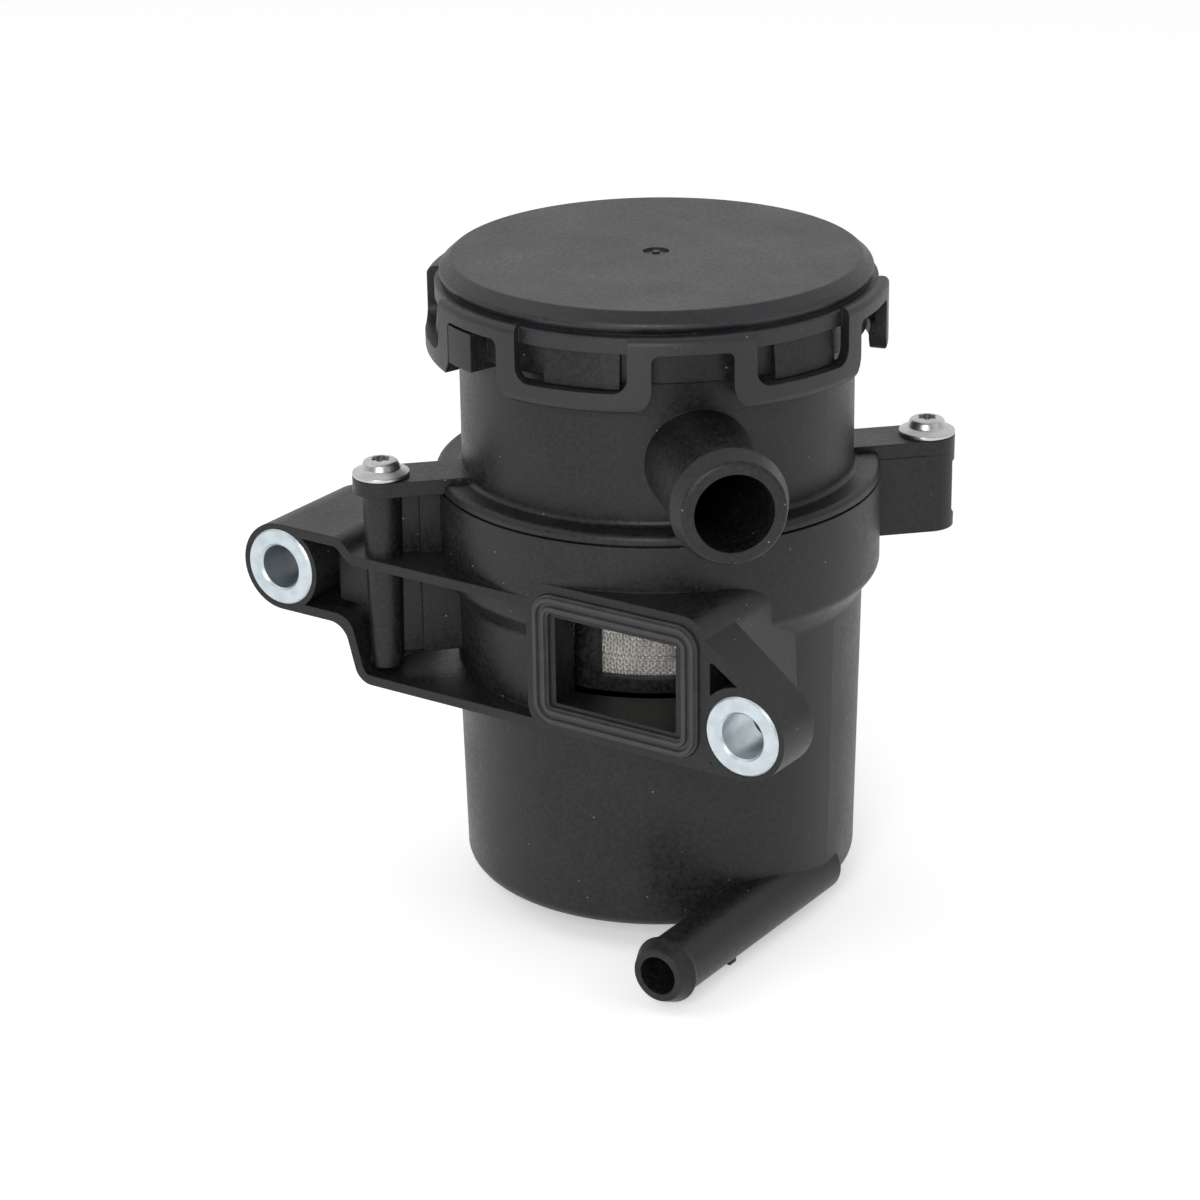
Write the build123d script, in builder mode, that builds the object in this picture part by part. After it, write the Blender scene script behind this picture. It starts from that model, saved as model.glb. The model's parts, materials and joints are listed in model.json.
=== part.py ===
from build123d import *
from math import asin, cos, radians, sin, tan
import os

os.makedirs("parts", exist_ok=True)

# A crankcase breather: a moulded canister with a bolt-on bracket, an upper housing with a hose
# nozzle screwed on it, and a clip-on lid over a pressure regulating diaphragm.
#
# Millimetres, +Z up. The origin is the middle of the right bush. The mounting face, half a bush
# in front of it, looks along -Y at the engine, and the canister stands behind it. Heights below
# are counted from the underside of the canister, and distances across from its axis.

# Mounting
bush_to_axis = 47.13           # canister axis, to the left of the right bush
face_to_axis = 44.6            # canister axis, behind the mounting face
right_bolt_height = 51.65
left_bolt_height = 63.45
bolt_spacing = 108.78          # across, from bush to bush

# Split steel bushes
bush_outer_radius = 8.0
bush_bore_radius = 4.5
bush_length = 11.5
bush_chamfer = 0.45
bush_slit = 0.7
bush_slit_angle = 115
bush_proud = 0.3               # the bushes stand this far out of the plastic

# Canister
canister_radius = 39.7         # at the underside
canister_draft = 0.02          # radius gained per millimetre of height
canister_wall = 2.5
canister_floor = 2.5
canister_edge = 3.0

# Collar at the top of the canister
collar_radius = 44.3
collar_wall = 2.5
collar_to_nozzle = 14.4        # top of the collar, under the nozzle's axis
collar_straight = 18.3         # height of its straight side
collar_taper = 4.6             # height of the curved foot under it
shadow_gap = 0.45              # groove under the flange, all round
shadow_depth = 0.9

# Spigot of the upper housing, in the collar
spigot_clearance = 0.1
spigot_length = 8.0
spigot_inner_radius = 38.0
seal_cord = 2.0
seal_clearance = 0.05
seal_side_gap = 0.15
seal_from_top = 4.0
lip_from_top = 4.7             # inner lip that the basket hangs on
lip_height = 1.6
lip_reach = 0.6

# Upper housing
wall_radius = 38.93
wall_thickness = 2.43
flange_radius = 44.2
flange_thickness = 1.95
flange_edge = 1.2
flange_root = 1.0
ring_radius = 41.3
ring_over_nozzle = 16.4        # foot of the ring, over the nozzle's axis
ring_height = 6.4

# Ears and screws
screw_radius = 55.44           # screw circle on the canister axis
screw_angle = 44.9             # right rear ear, the left front one is opposite
ear_thickness = 3.05
ear_end_radius = 5.7
ear_width = 11.2
screw_shank_radius = 2.0
screw_length = 18.0
screw_washer_radius = 5.65
screw_washer = 1.6
screw_head_radius = 3.9
screw_head = 2.1
screw_clearance = 0.4
star_radius = 1.9
star_depth = 1.5

# Hose nozzle
nozzle_angle = -45.1
nozzle_height = 97.0
nozzle_bore = 7.5
nozzle_reach = 67.6            # mouth, from the canister axis
nozzle_barrel = 9.8
nozzle_root = 10.4
nozzle_bead = 11.25
bead_from_mouth = 4.6

# Centre tube and valve seat
tube_outer_radius = 11.0
tube_bore = 8.8
tube_under_nozzle = 10.2
tube_floor = 2.0
seat_over_ledge = 5.6
ledge_radius = 17.5
ledge_over_nozzle = 10.6
ledge_thickness = 2.2
web_thickness = 2.0

# Lid
lid_rise = 7.5                 # top of the lid, over the ring
lid_thickness = 2.3
lid_crease_radius = 40.1
lid_rim_radius = 42.8
lid_chamfer = 2.4              # height of the bevel round the top
lid_undercut_radius = 41.6
lid_undercut_depth = 4.2       # foot of the rim, under the lid's top
skirt_radius = 43.3
loop_radius = 45.35
loop_count = 6
loop_angle = -78.3             # centre of the first loop
loop_width = 30.2
loop_drop = 11.3               # foot of the loops, under the top of the ring
bar_height = 4.2
bar_inner_radius = 41.8
window_width = 22.5
window_corner = 3.0
loop_corner = 4.7
bridge_rise = 0.3              # foot of the bridges, over the ring
bridge_height = 3.2
bridge_corner = 1.5
gate_radius = 2.6
gate_depth = 0.5
gate_pip = 0.7
band_overlap = 0.3
chamber_radius = 37.6
stop_radius = 18.0
rib_depth = 2.5
vent_angle = 71.7
vent_rise = 2.1
vent_radius = 0.8

# Lugs that hold the loops, and the block that sets the lid's turn
lug_width = 20.0               # degrees
lug_offset = 2.2               # degrees, off the middle of the window
lug_top_radius = 42.5
lug_radius = 43.3
lug_top_gap = 0.1
lug_clearance = 0.2
block_width = 10.2             # degrees
block_angle = -112.8
block_radius = 45.3
block_drop = 0.3               # top of the block, under the top of the ring
block_height = 7.5

# Diaphragm
bead_outer_radius = 40.0
bead_width = 1.6
bead_sink = 1.5                # foot of the bead, under the top of the ring
bead_height = 2.2
bead_clearance = 0.1
membrane = 0.8
membrane_sink = 0.3            # middle of the outer flat, under the top of the ring
fold_outer_radius = 34.6
fold_inner_radius = 28.8
fold_depth = 3.6
centre_drop = 1.1              # middle of the clamped centre, under the outer flat
stud_radius = 3.0

# Diaphragm plate, spring cup and spring
plate_radius = 27.0
plate_thickness = 1.5
plate_rim = 1.6
cup_radius = 17.0
cup_thickness = 1.0
cup_rim = 1.2
cup_depth = 2.6
clamp_gap = 0.05
stop_gap = 0.3
stud_length = 3.6
snap_radius = 3.9
spring_radius = 14.4
spring_wire = 1.2
spring_turns = 3.6

# Wire pack and its basket
pack_radius = 31.4
pack_from_top = 2.25           # top of the pack, under the basket's rim
pack_height = 27.8
basket_wall = 1.8
basket_floor = 2.0
basket_bars = 8
basket_bar_width = 5.0
bar_angle = 8.0                # degrees
basket_flange = 2.0
basket_band = 4.0
basket_ring = 5.0
cover_sink = 0.6               # top of the cover, under the top of the collar
cover_thickness = 1.9
cover_ring = 7.0
cover_spokes = 6
fit_gap = 0.1

# Bracket
boss_radius = 9.1
bracket_wall = 2.0
left_depth = 27.3
right_depth = 11.0
arm_top_drop = 3.1             # step down of the upper wall, from the boss to the duct
arm_top_bend = -46.6
arm_top_run = 3.2
arm_bottom_bend = -46.1
arm_bottom_run = 3.3
arm_bend_radius = 4.0
arm_low_radius = 4.5

# Inlet duct and flange
duct_centre = 18.85
duct_centre_height = 57.8
duct_width = 27.4
duct_height = 17.7
flange_width = 40.6
flange_top = 73.1
flange_corner = 5.0
gasket_width = 3.6
gasket_length = 37.4
gasket_height = 26.8
gasket_corner = 4.6
gasket_groove = 2.4
gasket_proud = 0.5
gasket_bead = 0.6
gasket_bead_width = 1.1
gasket_bead_inset = 0.35
gasket_gap = 0.1

# Left screw boss, its web and its rib
boss_foot_height = 45.8
boss_top_radius = 3.9
boss_foot_radius = 3.25
web_depth = 5.0
web_left = -50.3
rib_reach = 48.3
rib_half = 1.9
rib_foot = 48.3
rib_thin = 0.8

# Block under the right ear
ear_block_height = 16.2
block_wall = 2.2

# Drain tube
drain_across = 34.6
drain_height = 2.8
drain_radius = 6.0
drain_bore = 3.87
drain_mouth = -54.5            # along Y from the canister axis
drain_end = 5.2
drain_face_radius = 5.3
drain_bead_radius = 6.8
drain_bead_from_mouth = 3.2
drain_end_wall = 2.4
nub_along = -29.0
nub_side = 2.2
nub_reach = 2.2

# Sizes that follow
axis_x = -bush_to_axis
face_y = -bush_length / 2
axis_y = face_y + face_to_axis
left_bolt_across = bush_to_axis - bolt_spacing
arm_bottom = right_bolt_height - boss_radius
collar_top = nozzle_height - collar_to_nozzle
collar_bore = collar_radius - collar_wall
spigot_radius = collar_bore - spigot_clearance
groove_radius = collar_bore - seal_cord - 2 * seal_clearance
collar_foot = collar_top - collar_straight
seal_height = collar_top - seal_from_top
lip_top = collar_top - lip_from_top
ring_bottom = nozzle_height + ring_over_nozzle
ring_top = ring_bottom + ring_height
tube_bottom = nozzle_height - tube_under_nozzle
ledge_top = nozzle_height + ledge_over_nozzle
seat_height = ledge_top + seat_over_ledge
membrane_height = ring_top - membrane_sink
centre_height = membrane_height - centre_drop
fold_bottom = membrane_height - fold_depth
bead_bottom = ring_top - bead_sink
block_top = ring_top - block_drop
block_bottom = block_top - block_height
wall_inner_radius = wall_radius - wall_thickness
flange_height = collar_top + flange_thickness
ear_top = collar_top + ear_thickness
ear_block_foot = collar_top - ear_block_height
membrane_top = centre_height + membrane / 2
plate_bottom = membrane_top + clamp_gap
plate_top = plate_bottom + plate_thickness
cup_top = centre_height - membrane / 2 - clamp_gap
cup_bottom = cup_top - cup_thickness
lid_top = ring_top + lid_rise
lid_ceiling = lid_top - lid_thickness
lid_undercut_height = lid_top - lid_undercut_depth
bridge_bottom = ring_top + bridge_rise
bridge_top = bridge_bottom + bridge_height
loop_bottom = ring_top - loop_drop
bar_top = loop_bottom + bar_height
lug_bottom = bar_top + lug_clearance
bead_groove_outer = bead_outer_radius + bead_clearance
bead_groove_inner = bead_outer_radius - bead_width - bead_clearance
bead_top = bead_bottom + bead_height
basket_radius = pack_radius + fit_gap + basket_wall
basket_flange_radius = spigot_inner_radius - fit_gap
cover_top = collar_top - cover_sink
cover_bottom = cover_top - cover_thickness
basket_top = cover_bottom - clamp_gap
pack_bottom = basket_top - pack_from_top - pack_height
canister_axis = Axis((axis_x, axis_y, 0), (0, 0, 1))


def level(height):
    """Level plane on the canister axis, at a height above the canister's underside."""
    return Plane((axis_x, axis_y, height - right_bolt_height))


def front(depth):
    """Upright plane that looks at the engine, a depth behind the mounting face."""
    return Plane((axis_x, face_y + depth, -right_bolt_height), x_dir=(1, 0, 0), z_dir=(0, -1, 0))


def upright(angle):
    """Upright plane through the canister axis: x outwards at an angle, y up."""
    outwards = (cos(radians(angle)), sin(radians(angle)), 0)
    across = (sin(radians(angle)), -cos(radians(angle)), 0)
    return Plane((axis_x, axis_y, -right_bolt_height), x_dir=outwards, z_dir=across)


def facing(angle, radius=0.0):
    """Upright plane square to a radius of the canister: x sideways, y up, z outwards."""
    outwards = (cos(radians(angle)), sin(radians(angle)), 0)
    sideways = (-sin(radians(angle)), cos(radians(angle)), 0)
    start = (axis_x + radius * outwards[0], axis_y + radius * outwards[1], -right_bolt_height)
    return Plane(start, x_dir=sideways, z_dir=outwards)


def canister_at(height):
    """Outside radius of the canister at a height."""
    return canister_radius + canister_draft * height


side = upright(0)
screw_angles = {"right": screw_angle, "left": screw_angle + 180}
loop_angles = [loop_angle + 360 / loop_count * turn for turn in range(loop_count)]


# Lower housing: canister, collar, bracket, inlet duct, screw bosses and drain tube in one moulding
taper_foot = collar_foot - collar_taper
screw_depth = screw_length - ear_thickness + 1.0
screw_across = screw_radius * cos(radians(screw_angle))
screw_along = screw_radius * sin(radians(screw_angle))
arm_top = left_bolt_height + boss_radius
arm_low = arm_top - arm_top_drop
arm_foot = left_bolt_height - boss_radius
drain_side = Plane(
    (axis_x + drain_across, axis_y + drain_mouth, drain_height - right_bolt_height),
    x_dir=(0, 1, 0),
    z_dir=(1, 0, 0),
)
drain_length = drain_end - drain_mouth

with BuildPart() as lower_housing:
    # Left arm: boss, upper wall with its step and lower wall with its steep bend
    with BuildSketch(front(bush_proud)):
        with BuildLine():
            FilletPolyline(
                (left_bolt_across, arm_top),
                (arm_top_bend, arm_top),
                (arm_top_bend + arm_top_run, arm_low),
                (duct_centre, arm_low),
                (duct_centre, arm_bottom),
                (arm_bottom_bend + arm_bottom_run, arm_bottom),
                (arm_bottom_bend, arm_foot),
                (left_bolt_across, arm_foot),
                radius=[0, arm_bend_radius, arm_bend_radius, 0, 0, arm_bend_radius, arm_low_radius, 0],
                close=True,
            )
        make_face()
        with Locations((left_bolt_across, left_bolt_height)):
            Circle(boss_radius)
    extrude(amount=-(left_depth - bush_proud))

    # The arm is open at the front between its walls
    with BuildSketch(front(bush_proud)):
        with BuildLine():
            FilletPolyline(
                (left_bolt_across, arm_top - bracket_wall),
                (arm_top_bend - 0.8, arm_top - bracket_wall),
                (arm_top_bend + arm_top_run - 0.8, arm_low - bracket_wall),
                (duct_centre, arm_low - bracket_wall),
                (duct_centre, arm_bottom + bracket_wall),
                (arm_bottom_bend + arm_bottom_run + 1.5, arm_bottom + bracket_wall),
                (arm_bottom_bend + 1.5, arm_foot + bracket_wall),
                (left_bolt_across, arm_foot + bracket_wall),
                radius=[
                    0,
                    arm_bend_radius - bracket_wall,
                    arm_bend_radius,
                    0,
                    0,
                    arm_bend_radius - bracket_wall,
                    arm_low_radius,
                    0,
                ],
                close=True,
            )
        make_face()
        with Locations((left_bolt_across, left_bolt_height)):
            Circle(boss_radius, mode=Mode.SUBTRACT)
    extrude(amount=-left_depth, mode=Mode.SUBTRACT)

    # Web between the arm's upper wall and the screw boss
    with BuildSketch(front(web_depth)):
        with BuildLine():
            FilletPolyline(
                (web_left, arm_top - bracket_wall / 2),
                (arm_top_bend, arm_top - bracket_wall / 2),
                (arm_top_bend + arm_top_run, arm_low - bracket_wall / 2),
                (-screw_across, arm_low - bracket_wall / 2),
                (-screw_across, boss_foot_height + 0.5),
                (-screw_across - 1.8, boss_foot_height + 0.5),
                (-screw_across - 4.9, arm_foot + 2.9),
                (web_left, arm_foot + 2.9),
                radius=[0, arm_bend_radius, arm_bend_radius, 0, 0, 0, arm_low_radius, 0],
                close=True,
            )
        make_face()
    extrude(amount=-web_thickness)

    # Right arm, tapering from the flange to its boss
    slope = 37.3
    touch_x = bush_to_axis + boss_radius * sin(radians(slope))
    touch_h = right_bolt_height + boss_radius * cos(radians(slope))
    with BuildSketch(front(bush_proud)):
        with BuildLine():
            Polyline(
                (duct_centre, flange_top),
                (touch_x - (flange_top - touch_h) / tan(radians(slope)), flange_top),
                (touch_x, touch_h),
                (bush_to_axis, right_bolt_height),
                (bush_to_axis, arm_bottom),
                (duct_centre, arm_bottom),
                close=True,
            )
        make_face()
        with Locations((bush_to_axis, right_bolt_height)):
            Circle(boss_radius)
    extrude(amount=-(right_depth - bush_proud))

    # Inlet duct, from its flange back to the canister
    with BuildSketch(front(bush_proud)):
        with Locations((duct_centre, (flange_top + arm_bottom) / 2)):
            RectangleRounded(flange_width, flange_top - arm_bottom, flange_corner)
    extrude(amount=-(face_to_axis - bush_proud))

    # Pockets in the right arm, one over the boss and a small one under it
    pocket_left = duct_centre + flange_width / 2 + 0.9
    with BuildSketch(front(0)):
        with BuildLine():
            FilletPolyline(
                (pocket_left, flange_top - 7.7),
                (pocket_left + 7.5, flange_top - 12.8),
                (pocket_left + 7.5, right_bolt_height),
                (pocket_left, right_bolt_height),
                radius=[0.5, 0.5, 0, 0],
                close=True,
            )
        make_face()
        with Locations((bush_to_axis, right_bolt_height)):
            Circle(boss_radius + 0.6, mode=Mode.SUBTRACT)
        with BuildLine():
            Polyline(
                (pocket_left, arm_bottom + bracket_wall),
                (pocket_left + 3.5, arm_bottom + bracket_wall),
                (pocket_left + 3.5, arm_bottom + 6.0),
                (pocket_left, arm_bottom + 6.0),
                close=True,
            )
        make_face()
        with Locations((bush_to_axis, right_bolt_height)):
            Circle(boss_radius + 0.6, mode=Mode.SUBTRACT)
    extrude(amount=-(right_depth - bracket_wall), mode=Mode.SUBTRACT)

    # Canister and collar
    with BuildSketch(side):
        with BuildLine():
            FilletPolyline(
                (0, 0),
                (canister_radius, 0),
                (canister_at(taper_foot), taper_foot),
                (collar_radius, collar_foot),
                (collar_radius, collar_top - shadow_gap),
                (collar_radius - shadow_depth, collar_top - shadow_gap),
                (collar_radius - shadow_depth, collar_top),
                (0, collar_top),
                radius=[0, canister_edge, 2.6, 2.6, 0, 0, 0, 0],
                close=True,
            )
        make_face()
    revolve(axis=canister_axis)

    # Left screw boss, a drafted post behind the arm's upper wall
    with BuildSketch(level(boss_foot_height)):
        with Locations((-screw_across, -screw_along)):
            Circle(boss_foot_radius)
    with BuildSketch(level(collar_top)):
        with Locations((-screw_across, -screw_along)):
            Circle(boss_top_radius)
    loft()

    # Rib from the canister towards the left boss, thin for the last stretch
    rib = facing(screw_angles["left"])
    with BuildSketch(rib):
        with Locations((0, (rib_foot + collar_top) / 2)):
            Rectangle(2 * rib_half, collar_top - rib_foot)
    extrude(amount=rib_reach)
    with BuildSketch(rib):
        with Locations((0, (rib_foot + collar_top) / 2)):
            Rectangle(2 * rib_thin, collar_top - rib_foot)
    extrude(amount=screw_radius)

    # Block under the right ear
    with BuildSketch(level(ear_block_foot)):
        with Locations((screw_across, screw_along)):
            Circle(ear_end_radius)
        with Locations(Location((0, 0), screw_angle)):
            with Locations((screw_radius / 2, 0)):
                Rectangle(screw_radius, 2 * ear_end_radius)
    extrude(amount=collar_top - ear_block_foot)

    # Its core is taken out from the rear
    with BuildSketch(level(ear_block_foot + block_wall)):
        with Locations(Location((0, 0), screw_angle)):
            with Locations((screw_radius / 2, ear_end_radius)):
                Rectangle(screw_radius + 2 * ear_end_radius, 4 * ear_end_radius - 2 * block_wall)
        with Locations((screw_across, screw_along)):
            Circle(boss_top_radius, mode=Mode.SUBTRACT)
        Circle(collar_radius - 1.0, mode=Mode.SUBTRACT)
    extrude(amount=collar_top - ear_block_foot - 2 * block_wall, mode=Mode.SUBTRACT)

    # Drain tube along the foot of the canister
    with BuildSketch(drain_side):
        with BuildLine():
            FilletPolyline(
                (0, 0),
                (0, drain_face_radius),
                (drain_bead_from_mouth, drain_bead_radius),
                (drain_bead_from_mouth + 1.2, drain_radius),
                (drain_length, drain_radius),
                (drain_length, 0),
                radius=[0, 0.3, 0.6, 0.6, 1.0, 0],
                close=True,
            )
        make_face()
    revolve(axis=Axis(drain_side.origin, drain_side.x_dir))
    with BuildSketch(level(drain_height - drain_radius - nub_reach)):
        with Locations((drain_across, nub_along)):
            Rectangle(nub_side, nub_side)
    extrude(amount=drain_radius + nub_reach - drain_bore)

    # Inside of the canister and of the collar
    bore_foot = collar_foot - 3.0
    with BuildSketch(side):
        with BuildLine():
            FilletPolyline(
                (0, canister_floor),
                (canister_at(0) - canister_wall, canister_floor),
                (canister_at(bore_foot) - canister_wall, bore_foot),
                (collar_bore, collar_foot + 1.5),
                (collar_bore, collar_top),
                (0, collar_top),
                radius=[0, canister_edge - 1.0, 1.0, 1.0, 0, 0],
                close=True,
            )
        make_face()
    revolve(axis=canister_axis, mode=Mode.SUBTRACT)

    # Duct opening into the canister, with the groove for the gasket round it
    with BuildSketch(front(0)):
        with Locations((duct_centre, duct_centre_height)):
            Rectangle(duct_width, duct_height)
    extrude(amount=-(face_to_axis - 12.0), mode=Mode.SUBTRACT)
    with BuildSketch(front(bush_proud)):
        with Locations((duct_centre, duct_centre_height)):
            RectangleRounded(
                gasket_length + 2 * gasket_gap, gasket_height + 2 * gasket_gap, gasket_corner + gasket_gap
            )
            RectangleRounded(
                gasket_length - 2 * (gasket_width + gasket_gap),
                gasket_height - 2 * (gasket_width + gasket_gap),
                gasket_corner - gasket_width - gasket_gap,
                mode=Mode.SUBTRACT,
            )
    extrude(amount=-gasket_groove, mode=Mode.SUBTRACT)

    # Bush holes, pilot holes of the screws and the drain's bore
    with BuildSketch(front(0)):
        with Locations((left_bolt_across, left_bolt_height)):
            Circle(bush_outer_radius)
    extrude(amount=-left_depth, mode=Mode.SUBTRACT)
    with BuildSketch(front(0)):
        with Locations((bush_to_axis, right_bolt_height)):
            Circle(bush_outer_radius)
    extrude(amount=-right_depth, mode=Mode.SUBTRACT)
    with BuildSketch(level(collar_top)):
        with Locations((screw_across, screw_along), (-screw_across, -screw_along)):
            Circle(screw_shank_radius)
    extrude(amount=-screw_depth, mode=Mode.SUBTRACT)
    with BuildSketch(Plane(drain_side.origin, x_dir=(1, 0, 0), z_dir=(0, -1, 0))):
        Circle(drain_bore)
    extrude(amount=-(drain_length - drain_end_wall), mode=Mode.SUBTRACT)

lower_housing.part.label = "lower_housing"
export_step(lower_housing.part, "parts/lower_housing.step")


# Upper housing: wall, flange with ears, ring with lugs, nozzle, centre tube with the valve seat
nozzle_side = upright(nozzle_angle)
nozzle_axis = Axis(
    (axis_x, axis_y, nozzle_height - right_bolt_height),
    (cos(radians(nozzle_angle)), sin(radians(nozzle_angle)), 0),
)

with BuildPart() as upper_housing:
    # Wall, flange and ring turned as one profile
    with BuildSketch(side):
        with BuildLine():
            FilletPolyline(
                (0, collar_top - spigot_length),
                (spigot_radius, collar_top - spigot_length),
                (spigot_radius, collar_top),
                (flange_radius, collar_top),
                (flange_radius, flange_height),
                (wall_radius, flange_height),
                (wall_radius, ring_bottom),
                (ring_radius, ring_bottom),
                (ring_radius, ring_top),
                (0, ring_top),
                radius=[0, 0.8, 0, 0, flange_edge, flange_root, 0.6, 0.4, 0.3, 0],
                close=True,
            )
        make_face()
    revolve(axis=canister_axis)

    # Two ears on the flange
    for angle in screw_angles.values():
        with BuildSketch(level(collar_top)):
            with Locations(Location((0, 0), angle)):
                with Locations((screw_radius / 2, 0)):
                    Rectangle(screw_radius, ear_width)
                with Locations((screw_radius, 0)):
                    Circle(ear_end_radius)
        extrude(amount=ear_thickness)

    # Hose nozzle with its bead, turned about its own axis
    with BuildSketch(nozzle_side):
        with BuildLine():
            FilletPolyline(
                (wall_inner_radius - 2.0, nozzle_height),
                (wall_inner_radius - 2.0, nozzle_height + nozzle_root),
                (wall_radius + 2.0, nozzle_height + nozzle_root),
                (nozzle_reach - 2.4 * bead_from_mouth, nozzle_height + nozzle_barrel),
                (nozzle_reach - 1.6 * bead_from_mouth, nozzle_height + nozzle_barrel),
                (nozzle_reach - bead_from_mouth, nozzle_height + nozzle_bead),
                (nozzle_reach, nozzle_height + nozzle_barrel),
                (nozzle_reach, nozzle_height),
                radius=[0, 0, 3.0, 3.0, 2.0, 1.2, 0.8, 0],
                close=True,
            )
        make_face()
    revolve(axis=nozzle_axis)

    # Lugs that the bars of the lid snap under, leaning in towards their tops
    for angle in loop_angles:
        with BuildSketch(upright(angle + lug_offset - lug_width / 2)):
            with BuildLine():
                Polyline(
                    (wall_radius, lug_bottom),
                    (lug_radius, lug_bottom),
                    (lug_top_radius, ring_top - lug_top_gap),
                    (wall_radius, ring_top - lug_top_gap),
                    close=True,
                )
            make_face()
        revolve(axis=canister_axis, revolution_arc=lug_width)

    # Block in the gap between two loops
    with BuildSketch(upright(block_angle - block_width / 2)):
        with BuildLine():
            Polyline(
                (wall_radius - 1.0, block_bottom),
                (block_radius, block_bottom),
                (block_radius, block_top),
                (wall_radius - 1.0, block_top),
                close=True,
            )
        make_face()
    revolve(axis=canister_axis, revolution_arc=block_width)

    # Groove of the seal in the spigot
    with BuildSketch(side):
        with Locations((groove_radius + seal_cord, seal_height)):
            Rectangle(2 * seal_cord, seal_cord + 2 * seal_side_gap)
    revolve(axis=canister_axis, mode=Mode.SUBTRACT)

    # Inside of the wall, wider in the spigot where the basket hangs over its lip
    with BuildSketch(side):
        with BuildLine():
            Polyline(
                (0, collar_top - spigot_length),
                (spigot_inner_radius, collar_top - spigot_length),
                (spigot_inner_radius, lip_top - lip_height),
                (spigot_inner_radius - lip_reach, lip_top - lip_height / 2),
                (spigot_inner_radius - lip_reach, lip_top),
                (spigot_inner_radius, lip_top),
                (spigot_inner_radius, cover_top),
                (wall_inner_radius, cover_top),
                (wall_inner_radius, ring_top),
                (0, ring_top),
                close=True,
            )
        make_face()
    revolve(axis=canister_axis, mode=Mode.SUBTRACT)

    # Groove of the diaphragm's bead, with its inner wall lower than the ring
    with BuildSketch(side):
        with BuildLine():
            Polyline(
                (bead_groove_inner, bead_bottom - clamp_gap),
                (bead_groove_outer, bead_bottom - clamp_gap),
                (bead_groove_outer, ring_top + 1.0),
                (wall_inner_radius - 1.0, ring_top + 1.0),
                (wall_inner_radius - 1.0, membrane_height - membrane / 2 - clamp_gap),
                (bead_groove_inner, membrane_height - membrane / 2 - clamp_gap),
                close=True,
            )
        make_face()
    revolve(axis=canister_axis, mode=Mode.SUBTRACT)

    # Centre tube with the valve seat and the ledge of the spring
    with BuildSketch(side):
        with BuildLine():
            FilletPolyline(
                (0, tube_bottom),
                (tube_outer_radius, tube_bottom),
                (tube_outer_radius, ledge_top - ledge_thickness),
                (ledge_radius, ledge_top - ledge_thickness),
                (ledge_radius, ledge_top),
                (tube_outer_radius, ledge_top),
                (tube_outer_radius, seat_height - 1.5),
                (tube_bore + 1.0, seat_height),
                (tube_bore, seat_height),
                (0, seat_height),
                radius=[0, 1.0, 0, 0, 0.3, 0, 0, 0.4, 0, 0],
                close=True,
            )
        make_face()
    revolve(axis=canister_axis)

    # Inner stretch of the nozzle's duct and three webs that carry the tube
    with BuildSketch(facing(nozzle_angle, tube_bore)):
        with Locations((0, nozzle_height)):
            Circle(nozzle_bore + canister_wall)
    extrude(amount=wall_radius - 1.0 - tube_bore)
    for turn in (90, 180, 270):
        with BuildSketch(upright(nozzle_angle + turn)):
            with BuildLine():
                Polyline(
                    (tube_outer_radius - 1.0, tube_bottom + 1.0),
                    (wall_inner_radius + 1.0, tube_bottom + 1.0),
                    (wall_inner_radius + 1.0, ledge_top - ledge_thickness - 3.0),
                    (ledge_radius, ledge_top - ledge_thickness + 0.5),
                    (tube_outer_radius - 1.0, ledge_top - ledge_thickness + 0.5),
                    close=True,
                )
            make_face()
        extrude(amount=web_thickness / 2, both=True)

    # Bores of the tube and of the nozzle, and the clearance holes of the ears
    with BuildSketch(level(tube_bottom + tube_floor)):
        Circle(tube_bore)
    extrude(amount=seat_height - tube_bottom, mode=Mode.SUBTRACT)
    with BuildSketch(facing(nozzle_angle)):
        with Locations((0, nozzle_height)):
            Circle(nozzle_bore)
    extrude(amount=nozzle_reach, mode=Mode.SUBTRACT)
    with BuildSketch(level(collar_top)):
        with Locations((screw_across, screw_along), (-screw_across, -screw_along)):
            Circle(screw_shank_radius + screw_clearance)
    extrude(amount=ear_thickness, mode=Mode.SUBTRACT)

upper_housing.part.label = "upper_housing"
export_step(upper_housing.part, "parts/upper_housing.step")


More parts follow.
